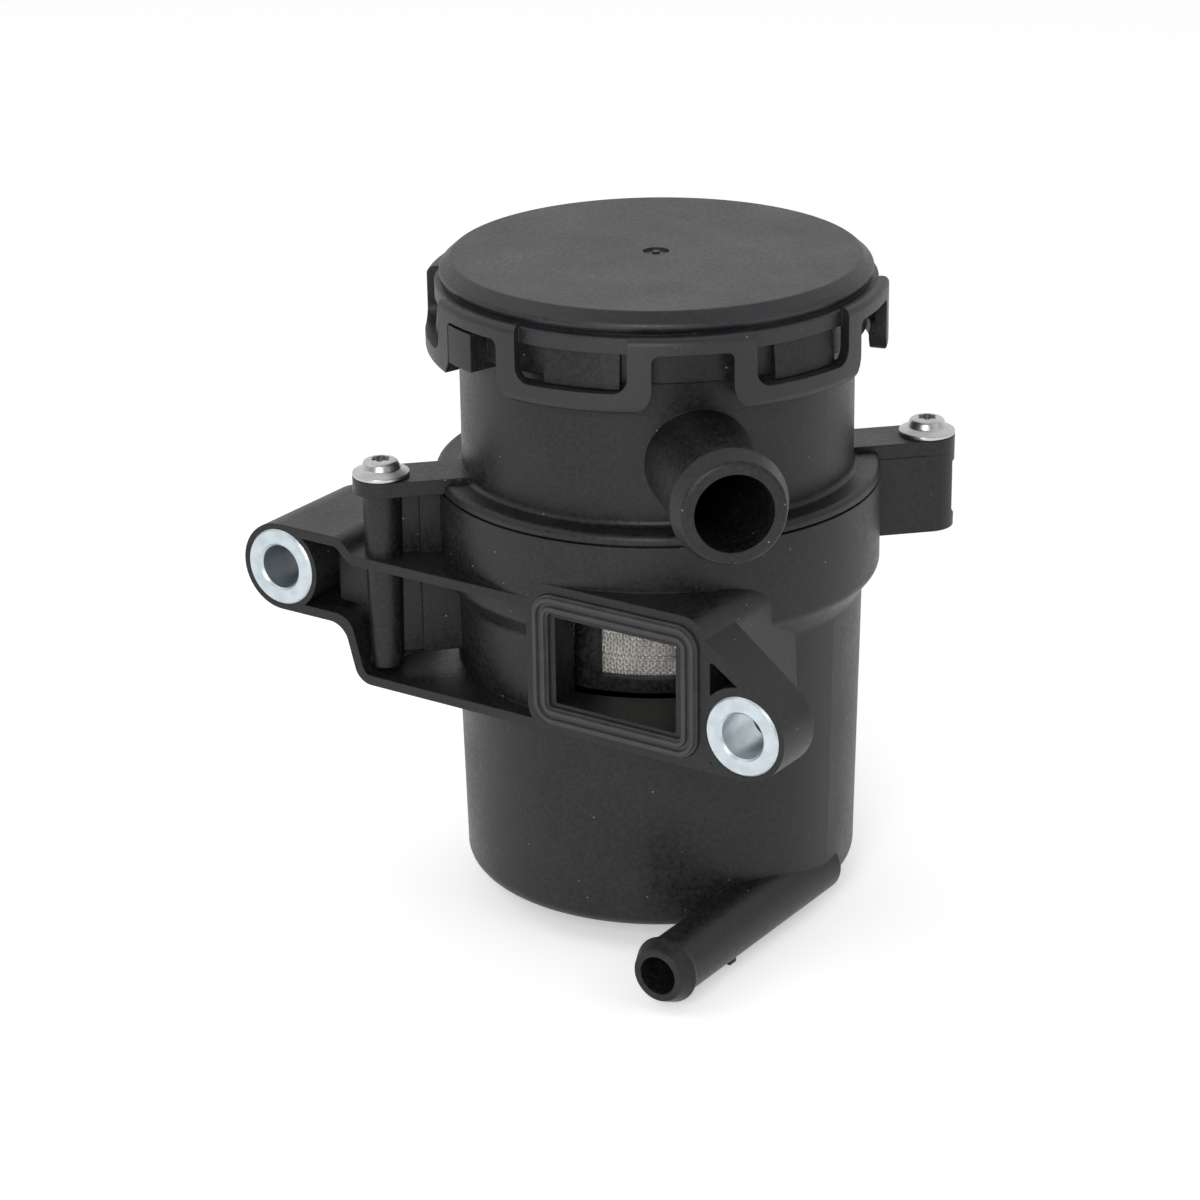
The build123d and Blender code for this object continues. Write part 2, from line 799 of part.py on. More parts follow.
# Lid: disc with a rounded rim over an undercut, skirt, six loops, stop ring under the middle
with BuildPart() as lid:
    # Band that the loops are cut from, with a thicker bar along its foot
    with BuildSketch(side):
        with BuildLine():
            FilletPolyline(
                (bar_inner_radius, loop_bottom),
                (loop_radius, loop_bottom),
                (loop_radius, bridge_top),
                (skirt_radius - band_overlap, bridge_top),
                (skirt_radius - band_overlap, bar_top),
                (bar_inner_radius, bar_top),
                radius=[0.8, 1.8, 1.4, 0, 0, 0],
                close=True,
            )
        make_face()
    revolve(axis=canister_axis)

    band_middle = (skirt_radius + loop_radius) / 2
    gap_half_angle = radians(180 / loop_count) - asin(loop_width / 2 / band_middle)
    gap_width = 2 * band_middle * sin(gap_half_angle)
    # Windows inside the loops, open up to the rim
    band_start = bar_inner_radius - 4.0
    with BuildSketch(*(facing(angle, band_start) for angle in loop_angles)):
        with BuildLine():
            FilletPolyline(
                (-window_width / 2, bar_top),
                (window_width / 2, bar_top),
                (window_width / 2, bridge_top + 1.0),
                (-window_width / 2, bridge_top + 1.0),
                radius=[window_corner, window_corner, 0, 0],
                close=True,
            )
        make_face()
    extrude(amount=loop_radius + 1.0 - band_start, mode=Mode.SUBTRACT)

    # Gaps between the loops, under the bridges
    flare = loop_corner + 1.0
    with BuildSketch(*(facing(angle + 180 / loop_count, band_start) for angle in loop_angles)):
        with BuildLine():
            FilletPolyline(
                (-gap_width / 2 - flare, loop_bottom - 1.0),
                (gap_width / 2 + flare, loop_bottom - 1.0),
                (gap_width / 2 + flare, loop_bottom),
                (gap_width / 2, loop_bottom),
                (gap_width / 2, bridge_bottom),
                (-gap_width / 2, bridge_bottom),
                (-gap_width / 2, loop_bottom),
                (-gap_width / 2 - flare, loop_bottom),
                radius=[0, 0, 0, loop_corner, bridge_corner, bridge_corner, loop_corner, 0],
                close=True,
            )
        make_face()
    extrude(amount=loop_radius + 1.0 - band_start, mode=Mode.SUBTRACT)

    # Disc, rim and skirt
    with BuildSketch(side):
        with BuildLine():
            FilletPolyline(
                (0, lid_top),
                (lid_crease_radius, lid_top),
                (lid_rim_radius, lid_top - lid_chamfer),
                (lid_undercut_radius, lid_undercut_height),
                (skirt_radius, lid_undercut_height - 0.2),
                (skirt_radius, ring_top),
                (bead_groove_outer, ring_top),
                (bead_groove_outer, bead_top + clamp_gap),
                (chamber_radius, bead_top + clamp_gap),
                (chamber_radius, lid_ceiling),
                (0, lid_ceiling),
                radius=[0, 0.8, 1.3, 0, 0.3, 0, 0, 0, 0, 1.5, 0],
                close=True,
            )
        make_face()
    revolve(axis=canister_axis)

    # Stop ring and four ribs over the diaphragm plate
    with BuildSketch(level(plate_top + stop_gap)):
        Circle(stop_radius)
        Circle(stop_radius - web_thickness, mode=Mode.SUBTRACT)
    extrude(amount=lid_ceiling + 0.5 - plate_top - stop_gap)
    with BuildSketch(level(lid_ceiling - rib_depth)):
        with PolarLocations((stop_radius + chamber_radius) / 2, 4):
            Rectangle(chamber_radius - stop_radius + 1.0, web_thickness)
    extrude(amount=rib_depth + 0.5)

    # Gate recess with its pip, and the vent under the rim at the rear
    with BuildSketch(level(lid_top - gate_depth)):
        Circle(gate_radius)
        Circle(gate_pip, mode=Mode.SUBTRACT)
    extrude(amount=gate_depth, mode=Mode.SUBTRACT)
    with BuildSketch(facing(vent_angle, chamber_radius - 2.0)):
        with Locations((0, ring_top + vent_rise)):
            Circle(vent_radius)
    extrude(amount=loop_radius - chamber_radius + 4.0, mode=Mode.SUBTRACT)

lid.part.label = "lid"
export_step(lid.part, "parts/lid.step")


# Rubber ring in the groove of the inlet flange, with two beads along its face
with BuildPart() as port_gasket:
    with BuildSketch(front(bush_proud + gasket_groove)):
        with Locations((duct_centre, duct_centre_height)):
            RectangleRounded(gasket_length, gasket_height, gasket_corner)
            RectangleRounded(
                gasket_length - 2 * gasket_width,
                gasket_height - 2 * gasket_width,
                gasket_corner - gasket_width,
                mode=Mode.SUBTRACT,
            )
    extrude(amount=gasket_groove + gasket_proud)
    for inset in (gasket_bead_inset, gasket_width - gasket_bead_inset - gasket_bead_width):
        with BuildSketch(front(bush_proud - gasket_proud)):
            with Locations((duct_centre, duct_centre_height)):
                RectangleRounded(
                    gasket_length - 2 * inset, gasket_height - 2 * inset, max(gasket_corner - inset, 0.6)
                )
                RectangleRounded(
                    gasket_length - 2 * (inset + gasket_bead_width),
                    gasket_height - 2 * (inset + gasket_bead_width),
                    max(gasket_corner - inset - gasket_bead_width, 0.3),
                    mode=Mode.SUBTRACT,
                )
        extrude(amount=gasket_bead, taper=20)

port_gasket.part.label = "port_gasket"
export_step(port_gasket.part, "parts/port_gasket.step")


def make_bush(across, height):
    """Rolled steel bush with a slit, its mouth in the mounting face."""
    with BuildPart() as bush:
        with BuildSketch(front(0)):
            with Locations((across, height)):
                Circle(bush_outer_radius)
                Circle(bush_bore_radius, mode=Mode.SUBTRACT)
        extrude(amount=-bush_length)
        chamfer(bush.edges().filter_by(GeomType.CIRCLE), bush_chamfer)
        with BuildSketch(front(0)):
            with Locations(Location((across, height), bush_slit_angle)):
                with Locations((bush_outer_radius, 0)):
                    Rectangle(2 * (bush_outer_radius - bush_bore_radius) + 2.0, bush_slit)
        extrude(amount=-bush_length, mode=Mode.SUBTRACT)
    return bush


bushes = {"left": (left_bolt_across, left_bolt_height), "right": (bush_to_axis, right_bolt_height)}
for place, (across, height) in bushes.items():
    bush = make_bush(across, height)
    bush.part.label = f"bush_{place}"
    export_step(bush.part, f"parts/bush_{place}.step")


def make_screw(angle):
    """Self-tapping screw with a washer head and a six-lobed recess."""
    seat = facing(angle, screw_radius).origin
    spot = Plane((seat.X, seat.Y, ear_top - right_bolt_height))
    with BuildPart() as screw:
        with BuildSketch(spot):
            Circle(screw_shank_radius)
        extrude(amount=-(screw_length - 2.0))
        with BuildSketch(spot.offset(-(screw_length - 2.0))):
            Circle(screw_shank_radius)
        extrude(amount=-2.0, taper=35)
        with BuildSketch(Plane(spot.origin, x_dir=(1, 0, 0), z_dir=(0, -1, 0))):
            with BuildLine():
                FilletPolyline(
                    (0, 0),
                    (screw_washer_radius, 0),
                    (screw_washer_radius, 0.5 * screw_washer),
                    (screw_head_radius, screw_washer),
                    (screw_head_radius - 0.5, screw_washer + 0.7 * screw_head),
                    (0, screw_washer + screw_head),
                    radius=[0, 0.25, 0.25, 0.4, 0.9, 0],
                    close=True,
                )
            make_face()
        revolve(axis=Axis(spot.origin, (0, 0, 1)))
        with BuildSketch(spot.offset(screw_washer + screw_head)):
            Circle(0.72 * star_radius)
            with PolarLocations(0.62 * star_radius, 6):
                Circle(0.38 * star_radius)
        extrude(amount=-star_depth - 0.4, mode=Mode.SUBTRACT)
    return screw


for place, angle in screw_angles.items():
    screw = make_screw(angle)
    screw.part.label = f"screw_{place}"
    export_step(screw.part, f"parts/screw_{place}.step")


# Seal between the spigot and the collar
with BuildPart() as housing_seal:
    with BuildSketch(side):
        with Locations((groove_radius + seal_clearance + seal_cord / 2, seal_height)):
            Circle(seal_cord / 2)
    revolve(axis=canister_axis)

housing_seal.part.label = "housing_seal"
export_step(housing_seal.part, "parts/housing_seal.step")


# Rubber diaphragm: clamped bead, outer flat, rolling fold and centre disc with a hole
with BuildPart() as diaphragm:
    with BuildSketch(side):
        with Locations((bead_outer_radius - bead_width / 2, bead_bottom + bead_height / 2)):
            RectangleRounded(bead_width, bead_height, 0.3)
        with BuildLine():
            Line((bead_outer_radius - bead_width / 2, membrane_height), (fold_outer_radius, membrane_height))
            ThreePointArc(
                (fold_outer_radius, membrane_height),
                ((fold_outer_radius + fold_inner_radius) / 2, fold_bottom),
                (fold_inner_radius, centre_height),
            )
            Line((fold_inner_radius, centre_height), (stud_radius + stop_gap, centre_height))
        trace(line_width=membrane)
    revolve(axis=canister_axis)

diaphragm.part.label = "diaphragm"
export_step(diaphragm.part, "parts/diaphragm.step")


# Plate on top of the diaphragm, its stud goes through the cup and ends in a snap head
with BuildPart() as diaphragm_plate:
    with BuildSketch(side):
        with BuildLine():
            FilletPolyline(
                (0, plate_bottom),
                (plate_radius, plate_bottom),
                (plate_radius, plate_top + plate_rim),
                (plate_radius - 1.2, plate_top + plate_rim),
                (plate_radius - 1.2, plate_top),
                (0, plate_top),
                radius=[0, 0.6, 0.3, 0, 0.6, 0],
                close=True,
            )
        make_face()
        with BuildLine():
            FilletPolyline(
                (0, plate_bottom + 0.5),
                (stud_radius, plate_bottom + 0.5),
                (stud_radius, cup_bottom - clamp_gap),
                (snap_radius, cup_bottom - clamp_gap),
                (stud_radius - 0.8, cup_bottom - stud_length),
                (0, cup_bottom - stud_length),
                radius=[0, 0, 0, 0.2, 0.3, 0],
                close=True,
            )
        make_face()
    revolve(axis=canister_axis)

diaphragm_plate.part.label = "diaphragm_plate"
export_step(diaphragm_plate.part, "parts/diaphragm_plate.step")


# Cup under the diaphragm: valve disc in the middle, rim round the spring
with BuildPart() as spring_cup:
    with BuildSketch(side):
        with BuildLine():
            FilletPolyline(
                (stud_radius + fit_gap, cup_bottom),
                (cup_radius - cup_rim, cup_bottom),
                (cup_radius - cup_rim, cup_top - cup_depth),
                (cup_radius, cup_top - cup_depth),
                (cup_radius, cup_top),
                (stud_radius + fit_gap, cup_top),
                radius=[0, 0.4, 0.3, 0.3, 0.6, 0],
                close=True,
            )
        make_face()
    revolve(axis=canister_axis)

spring_cup.part.label = "spring_cup"
export_step(spring_cup.part, "parts/spring_cup.step")


# Compression spring between the ledge and the cup
spring_foot = ledge_top + spring_wire / 2 + clamp_gap
spring_head = cup_bottom - spring_wire / 2 - clamp_gap
with BuildPart() as regulator_spring:
    with BuildLine(level(spring_foot)) as coil:
        Helix(
            pitch=(spring_head - spring_foot) / spring_turns,
            height=spring_head - spring_foot,
            radius=spring_radius,
        )
    with BuildSketch(Plane(coil.line @ 0, z_dir=coil.line % 0)):
        Circle(spring_wire / 2)
    sweep(path=coil.line, is_frenet=True)

regulator_spring.part.label = "regulator_spring"
export_step(regulator_spring.part, "parts/regulator_spring.step")


# Knitted wire pack, a drum of wound layers
with BuildPart() as mesh_pack:
    with BuildSketch(side):
        with Locations((pack_radius / 2, pack_bottom + pack_height / 2)):
            Rectangle(pack_radius, pack_height)
    revolve(axis=canister_axis)
    fillet(mesh_pack.edges().filter_by(GeomType.CIRCLE), 0.8)

mesh_pack.part.label = "mesh_pack"
export_step(mesh_pack.part, "parts/mesh_pack.step")


# Basket round the pack: flange in the spigot, band, upright bars and a floor ring with spokes
with BuildPart() as mesh_basket:
    with BuildSketch(side):
        with BuildLine():
            Polyline(
                (pack_radius + fit_gap, pack_bottom - fit_gap - basket_floor),
                (basket_radius, pack_bottom - fit_gap - basket_floor),
                (basket_radius, basket_top - basket_flange),
                (basket_flange_radius, basket_top - basket_flange),
                (basket_flange_radius, basket_top),
                (pack_radius + fit_gap, basket_top),
                close=True,
            )
        make_face()
    revolve(axis=canister_axis)

    # Windows between the bars
    basket_low = pack_bottom + 1.0
    basket_high = basket_top - basket_flange - basket_band
    with BuildSketch(level(basket_low)):
        Circle(basket_radius + 1.0)
        with PolarLocations(0, basket_bars, start_angle=bar_angle):
            with Locations((basket_radius, 0)):
                Rectangle(4 * basket_wall, basket_bar_width, mode=Mode.SUBTRACT)
        Circle(pack_radius, mode=Mode.SUBTRACT)
    extrude(amount=basket_high - basket_low, mode=Mode.SUBTRACT)

    # Floor
    with BuildSketch(level(pack_bottom - fit_gap - basket_floor)):
        Circle(basket_radius)
        Circle(pack_radius - basket_ring, mode=Mode.SUBTRACT)
        for angle in (0, 60, 120):
            with Locations(Location((0, 0), angle)):
                Rectangle(2 * pack_radius, basket_ring / 2)
        Circle(basket_ring)
    extrude(amount=basket_floor)

mesh_basket.part.label = "mesh_basket"
export_step(mesh_basket.part, "parts/mesh_basket.step")


# Cover over the pack, between the basket's flange and the step of the upper housing
with BuildPart() as mesh_cover:
    with BuildSketch(level(cover_bottom)):
        Circle(basket_flange_radius)
        Circle(basket_flange_radius - cover_ring, mode=Mode.SUBTRACT)
        for turn in range(cover_spokes // 2):
            with Locations(Location((0, 0), 360 / cover_spokes * turn)):
                Rectangle(2 * (basket_flange_radius - 2.0), basket_ring / 2)
        Circle(basket_ring)
    extrude(amount=cover_thickness)

mesh_cover.part.label = "mesh_cover"
export_step(mesh_cover.part, "parts/mesh_cover.step")
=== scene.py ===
"""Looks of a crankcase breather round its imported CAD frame.

The CAD nodes keep their shapes and get their finishes here. The knitted wire pack, the spring, the
diaphragm and the bushes are made again as finer pieces. Lengths are in metres, in the frame of the
CAD model: origin in the middle of the right bush, +Z up, the mounting face looking along -Y.
"""

import json
import logging
import math
from dataclasses import dataclass, field
from enum import Enum

import bmesh
import bpy
from mathutils import Matrix, Vector

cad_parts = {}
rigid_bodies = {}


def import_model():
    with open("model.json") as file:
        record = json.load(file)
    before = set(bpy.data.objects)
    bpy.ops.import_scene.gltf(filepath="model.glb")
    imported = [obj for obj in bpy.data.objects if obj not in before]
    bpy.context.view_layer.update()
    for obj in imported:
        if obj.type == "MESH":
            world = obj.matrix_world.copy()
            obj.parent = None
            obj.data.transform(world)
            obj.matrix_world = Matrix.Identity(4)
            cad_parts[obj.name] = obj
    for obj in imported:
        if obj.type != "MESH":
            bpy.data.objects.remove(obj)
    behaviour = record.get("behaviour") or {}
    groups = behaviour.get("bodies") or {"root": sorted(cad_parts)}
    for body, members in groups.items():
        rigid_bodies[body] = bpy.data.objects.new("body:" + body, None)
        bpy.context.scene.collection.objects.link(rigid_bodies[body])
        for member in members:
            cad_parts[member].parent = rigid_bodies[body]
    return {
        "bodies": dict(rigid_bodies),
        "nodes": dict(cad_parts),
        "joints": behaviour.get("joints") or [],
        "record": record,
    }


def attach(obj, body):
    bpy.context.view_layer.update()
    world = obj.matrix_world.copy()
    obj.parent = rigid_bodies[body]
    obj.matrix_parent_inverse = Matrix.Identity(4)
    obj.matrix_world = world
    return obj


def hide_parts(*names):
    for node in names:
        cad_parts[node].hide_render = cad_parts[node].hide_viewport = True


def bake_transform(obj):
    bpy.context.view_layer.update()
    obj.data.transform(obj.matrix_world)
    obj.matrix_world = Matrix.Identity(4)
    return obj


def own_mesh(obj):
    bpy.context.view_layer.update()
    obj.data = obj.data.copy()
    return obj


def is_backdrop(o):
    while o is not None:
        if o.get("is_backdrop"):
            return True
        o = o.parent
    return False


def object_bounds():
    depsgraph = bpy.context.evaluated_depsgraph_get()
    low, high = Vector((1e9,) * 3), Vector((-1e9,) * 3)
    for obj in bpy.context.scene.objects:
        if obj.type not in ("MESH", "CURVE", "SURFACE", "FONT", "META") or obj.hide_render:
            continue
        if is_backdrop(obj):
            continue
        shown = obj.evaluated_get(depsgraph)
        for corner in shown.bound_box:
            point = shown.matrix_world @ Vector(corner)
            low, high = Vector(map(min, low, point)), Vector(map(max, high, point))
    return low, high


LOG = logging.getLogger("breather")
MM = 0.001
WHITE = (1.0, 1.0, 1.0, 1.0)
UP = Vector((0.0, 0.0, 1.0))
ALONG_BOLTS = Vector((0.0, 1.0, 0.0))

# The canister's axis and underside in the frame
AXIS_X = -47.13 * MM
AXIS_Y = 38.85 * MM
UNDERSIDE = -51.65 * MM

# Edges sharper than this keep their crease in the shading
CREASE = math.radians(28)

# Most of a noise texture's values lie in the first band, and nearly all in the second
NOISE_BAND = (0.3, 0.7)
WIDE_BAND = (0.25, 0.75)

# Degrees of a whole turn
FULL_TURN = 360.0

Socket = bpy.types.NodeSocket
Range = tuple[float, float]
Triple = tuple[float, float, float]
Outline = list[tuple[float, float]]


def on_axis(height: float) -> Vector:
    """Point on the canister's axis.

    Args:
        height: millimetres above the canister's underside.

    Returns:
        The point in the frame, in metres.
    """
    return Vector((AXIS_X, AXIS_Y, UNDERSIDE + height * MM))


def grey(value: float, tint: Triple = (1.0, 1.0, 1.0)) -> tuple[float, float, float, float]:
    """A colour from one brightness and a tint.

    Args:
        value: linear brightness.
        tint: factors for red, green and blue.

    Returns:
        Red, green, blue and 1.
    """
    return (value * tint[0], value * tint[1], value * tint[2], 1.0)


class NodeGraph:
    """Short way to add and link nodes in a shader or geometry tree."""

    def __init__(self, tree: bpy.types.NodeTree) -> None:
        """Keep the tree.

        Args:
            tree: the tree that the nodes go into.
        """
        self.tree = tree

    def add(self, kind: str, links: dict | None = None, **values: object) -> bpy.types.Node:
        """Add one node.

        Args:
            kind: the node's type name.
            links: input name or index to a value or to another node's output.
            **values: attributes set on the node itself.

        Returns:
            The new node.
        """
        node = self.tree.nodes.new(kind)
        for name, value in values.items():
            setattr(node, name, value)
        for key, value in (links or {}).items():
            if isinstance(value, Socket):
                self.tree.links.new(value, node.inputs[key])
            else:
                node.inputs[key].default_value = value
        return node

    def math(self, operation: str, first: object, second: object = 0.0) -> Socket:
        """Add a Math node.

        Args:
            operation: the operation's name.
            first: first number or output.
            second: second number or output.

        Returns:
            The node's output.
        """
        return self.add("ShaderNodeMath", {0: first, 1: second}, operation=operation).outputs[0]

    def vector(self, operation: str, first: object, second: object) -> bpy.types.Node:
        """Add a Vector Math node.

        Args:
            operation: the operation's name.
            first: first vector or output.
            second: second vector or output.

        Returns:
            The node, whose outputs are "Vector" and "Value".
        """
        return self.add("ShaderNodeVectorMath", {0: first, 1: second}, operation=operation)

    def span(self, value: Socket, band: Range, result: Range = (0.0, 1.0)) -> Socket:
        """Add a clamped Map Range node.

        Args:
            value: the output that is mapped.
            band: start and end of its range.
            result: results at the start and at the end.

        Returns:
            The node's output.
        """
        ends = {"From Min": band[0], "From Max": band[1], "To Min": result[0], "To Max": result[1]}
        return self.add("ShaderNodeMapRange", {"Value": value, **ends}).outputs[0]

    def noise(self, place: Socket, size: float, detail: float, roughness: float = 0.5) -> Socket:
        """Add a Noise Texture node.

        Args:
            place: object coordinates.
            size: size of the pattern's largest patches.
            detail: number of finer layers.
            roughness: how strong the finer layers are.

        Returns:
            The node's output, mostly within NOISE_BAND.
        """
        inputs = {"Vector": place, "Scale": 1 / size, "Detail": detail, "Roughness": roughness}
        return self.add("ShaderNodeTexNoise", inputs).outputs["Fac"]

    def mix(self, factor: Socket, first: object, second: object) -> Socket:
        """Add a Mix node for colours.

        Args:
            factor: 0 for the first colour and 1 for the second.
            first: first colour or output.
            second: second colour or output.

        Returns:
            The node's output.
        """
        # Inputs 6 and 7 and output 2 are the node's colours
        inputs = {"Factor": factor, 6: first, 7: second}
        return self.add("ShaderNodeMix", inputs, data_type="RGBA").outputs[2]

    def bump(
        self, height: Socket, strength: float, distance: float, normal: Socket | None = None
    ) -> Socket:
        """Add a Bump node.

        Args:
            height: the height's pattern.
            strength: strength of the bumps.
            distance: height of the bumps.
            normal: normal that the bumps stand on, or None for the surface's own.

        Returns:
            The node's output.
        """
        inputs = {"Height": height, "Strength": strength, "Distance": distance}
        if normal is not None:
            inputs["Normal"] = normal
        return self.add("ShaderNodeBump", inputs).outputs[0]


def start_material(name: str) -> tuple[bpy.types.Material, NodeGraph]:
    """Make a material with an empty tree.

    Args:
        name: the material's name.

    Returns:
        The material and its graph.
    """
    material = bpy.data.materials.new(name)
    material.use_nodes = True
    material.node_tree.nodes.clear()
    return material, NodeGraph(material.node_tree)


@dataclass(frozen=True)
class Dust:
    """Fine pale specks that lie on a surface.

    Attributes:
        cell: mean distance between speck sites.
        size: largest radius of a speck, as a share of the cell.
        share: share of the sites that hold a speck.
        colour: linear brightness of the specks.
        roughness: least roughness of the specks.
    """

    cell: float = 2.2 * MM
    size: float = 0.085
    share: float = 0.4
    colour: float = 0.2
    roughness: float = 0.9

    def mask(self, graph: NodeGraph, place: Socket) -> Socket:
        """Build the speck pattern.

        Args:
            graph: the material's graph.
            place: object coordinates.

        Returns:
            An output that is 1 on a speck and 0 off it.
        """
        cells = graph.add("ShaderNodeTexVoronoi", {"Vector": place, "Scale": 1 / self.cell})
        pick = graph.add("ShaderNodeSeparateColor", {0: cells.outputs["Color"]})
        radius = graph.math("MULTIPLY", pick.outputs[1], self.size)
        inside = graph.math("LESS_THAN", cells.outputs["Distance"], radius)
        chosen = graph.math("LESS_THAN", pick.outputs[0], self.share)
        return graph.math("MULTIPLY", inside, chosen)


@dataclass(frozen=True)
class FlowRings:
    """Faint rings that the melt left round the gate, on the canister's axis.

    Attributes:
        pitch: distance between two rings.
        start: radii between which the rings fade in.
        end: radii between which they fade out.
        strength: their height against that of the mottling.
    """

    pitch: float = 0.9 * MM
    start: Range = (6.0 * MM, 8.5 * MM)
    end: Range = (10.9 * MM, 11.4 * MM)
    strength: float = 0.12

    def height(self, graph: NodeGraph, place: Socket) -> Socket:
        """Build the height of the rings.

        Args:
            graph: the material's graph.
            place: object coordinates.

        Returns:
            An output that waves round 0 near the rings and is 0 elsewhere.
        """
        offset = graph.vector("SUBTRACT", place, (AXIS_X, AXIS_Y, 0.0)).outputs[0]
        flat = graph.vector("MULTIPLY", offset, (1.0, 1.0, 0.0)).outputs[0]
        radius = graph.add("ShaderNodeVectorMath", {0: flat}, operation="LENGTH").outputs["Value"]
        wave = graph.math("SINE", graph.math("MULTIPLY", radius, math.tau / self.pitch))
        inner = graph.span(radius, self.start)
        outer = graph.span(radius, self.end, (1.0, 0.0))
        rings = graph.math("MULTIPLY", wave, graph.math("MULTIPLY", inner, outer))
        return graph.math("MULTIPLY", rings, self.strength)


@dataclass(frozen=True)
class Finish:
    """What all finishes share: one shader over a pattern on object coordinates."""

    def surface(self, graph: NodeGraph, place: Socket) -> dict[str, object]:
        """Inputs of the shader, which each finish gives for itself."""
        raise NotImplementedError

    def build(self, name: str) -> bpy.types.Material:
        """Make the material.

        Args:
            name: the material's name.

        Returns:
            The material.
        """
        material, graph = start_material(name)
        place = graph.add("ShaderNodeTexCoord").outputs["Object"]
        shader = graph.add("ShaderNodeBsdfPrincipled", self.surface(graph, place))
        graph.add("ShaderNodeOutputMaterial", {"Surface": shader.outputs[0]})
        return material


@dataclass(frozen=True)
class MouldedPlastic(Finish):
    """Moulded nylon with a fine spark-eroded grain and a little dust.

    Attributes:
        colour: linear brightness of the resin.
        tint: factors for red, green and blue.
        roughness: mean roughness.
        grain: size of the bumps of the grain.
        grain_height: height of the grain's bumps.
        mottle: size of the mottled patches.
        mottle_height: height of the mottling's bumps.
        relief: strength of both kinds of bumps.
        cloud: size of the cloudy patches.
        cloud_share: share of the clouds in the colour's variation, the rest being mottling.
        shade_band: values of that variation between which the colour changes.
        haze: how much it lifts the colour.
        shadow: how much it lowers the colour, as a share of the haze.
        cloud_gloss: change of the roughness over the clouds.
        grain_gloss: change of the roughness over the grain.
        mottle_gloss: change of the roughness over the mottling.
        edge: radius of the rounding that the light shows on sharp edges.
        ior: index of refraction.
        dust: the specks, or None.
        rings: the flow rings, or None.
    """

    colour: float = 0.008
    tint: Triple = (1.0, 1.0, 1.04)
    roughness: float = 0.42
    grain: float = 0.22 * MM
    grain_height: float = 0.05 * MM
    mottle: float = 0.9 * MM
    mottle_height: float = 0.16 * MM
    relief: float = 0.3
    cloud: float = 14 * MM
    cloud_share: float = 0.3
    shade_band: Range = (0.42, 0.6)
    haze: float = 1.0
    shadow: float = 0.6
    cloud_gloss: Range = (-0.05, 0.06)
    grain_gloss: Range = (-0.04, 0.05)
    mottle_gloss: Range = (-0.08, 0.1)
    edge: float = 0.3 * MM
    ior: float = 1.41
    dust: Dust | None = Dust()
    rings: FlowRings | None = None

    def surface(self, graph: NodeGraph, place: Socket) -> dict[str, object]:
        """Build the plastic's colour, roughness and bumps.

        Args:
            graph: the material's graph.
            place: object coordinates.

        Returns:
            The shader's inputs.
        """
        cloud = graph.noise(place, self.cloud, detail=3.0, roughness=0.6)
        grain = graph.noise(place, self.grain, detail=2.0, roughness=0.55)
        mottle = graph.noise(place, self.mottle, detail=4.0, roughness=0.7)
        shade = graph.math(
            "ADD",
            graph.math("MULTIPLY", cloud, self.cloud_share),
            graph.math("MULTIPLY", mottle, 1 - self.cloud_share),
        )
        dark = grey(self.colour * (1 - self.haze * self.shadow), self.tint)
        pale = grey(self.colour * (1 + self.haze), self.tint)
        base = graph.mix(graph.span(shade, self.shade_band), dark, pale)
        rough = graph.math("ADD", graph.span(cloud, WIDE_BAND, self.cloud_gloss), self.roughness)
        rough = graph.math("ADD", rough, graph.span(grain, NOISE_BAND, self.grain_gloss))
        if self.dust is not None:
            specks = self.dust.mask(graph, place)
            base = graph.mix(specks, base, grey(self.dust.colour))
            matt = graph.math("MULTIPLY", specks, self.dust.roughness)
            rough = graph.math("MAXIMUM", rough, matt)
        rough = graph.math("ADD", rough, graph.span(mottle, NOISE_BAND, self.mottle_gloss))
        if self.rings is not None:
            mottle = graph.math("ADD", mottle, self.rings.height(graph, place))
        rounded = graph.add("ShaderNodeBevel", {"Radius": self.edge}, samples=4).outputs[0]
        waves = graph.bump(mottle, self.relief, self.mottle_height, rounded)
        bump = graph.bump(grain, self.relief, self.grain_height, waves)
        return {"Base Color": base, "Roughness": rough, "Normal": bump, "IOR": self.ior}


@dataclass(frozen=True)
class Rubber(Finish):
    """Matt moulded rubber.

    Attributes:
        colour: linear brightness.
        tint: factors for red, green and blue.
        roughness: mean roughness.
        sheen: how far the roughness varies to either side.
        bloom: size of the bloom's patches.
        bloom_band: values of the bloom between which the colour changes.
        contrast: darkest and palest colour, as shares of the mean one.
        skin: size of the skin's bumps.
        skin_height: height of the skin's bumps.
        relief: strength of the skin's bumps.
    """

    colour: float = 0.03
    tint: Triple = (1.0, 1.02, 1.05)
    roughness: float = 0.58
    sheen: float = 0.07
    bloom: float = 3 * MM
    bloom_band: Range = (0.35, 0.7)
    contrast: Range = (0.85, 1.35)
    skin: float = 0.18 * MM
    skin_height: float = 0.02 * MM
    relief: float = 0.2

    def surface(self, graph: NodeGraph, place: Socket) -> dict[str, object]:
        """Build the rubber's colour, roughness and bumps.

        Args:
            graph: the material's graph.
            place: object coordinates.

        Returns:
            The shader's inputs.
        """
        bloom = graph.noise(place, self.bloom, detail=4.0)
        skin = graph.noise(place, self.skin, detail=2.0)
        dark, pale = (grey(self.colour * share, self.tint) for share in self.contrast)
        gloss = (self.roughness - self.sheen, self.roughness + self.sheen)
        return {
            "Base Color": graph.mix(graph.span(bloom, self.bloom_band), dark, pale),
            "Roughness": graph.span(bloom, NOISE_BAND, gloss),
            "Normal": graph.bump(skin, self.relief, self.skin_height),
        }


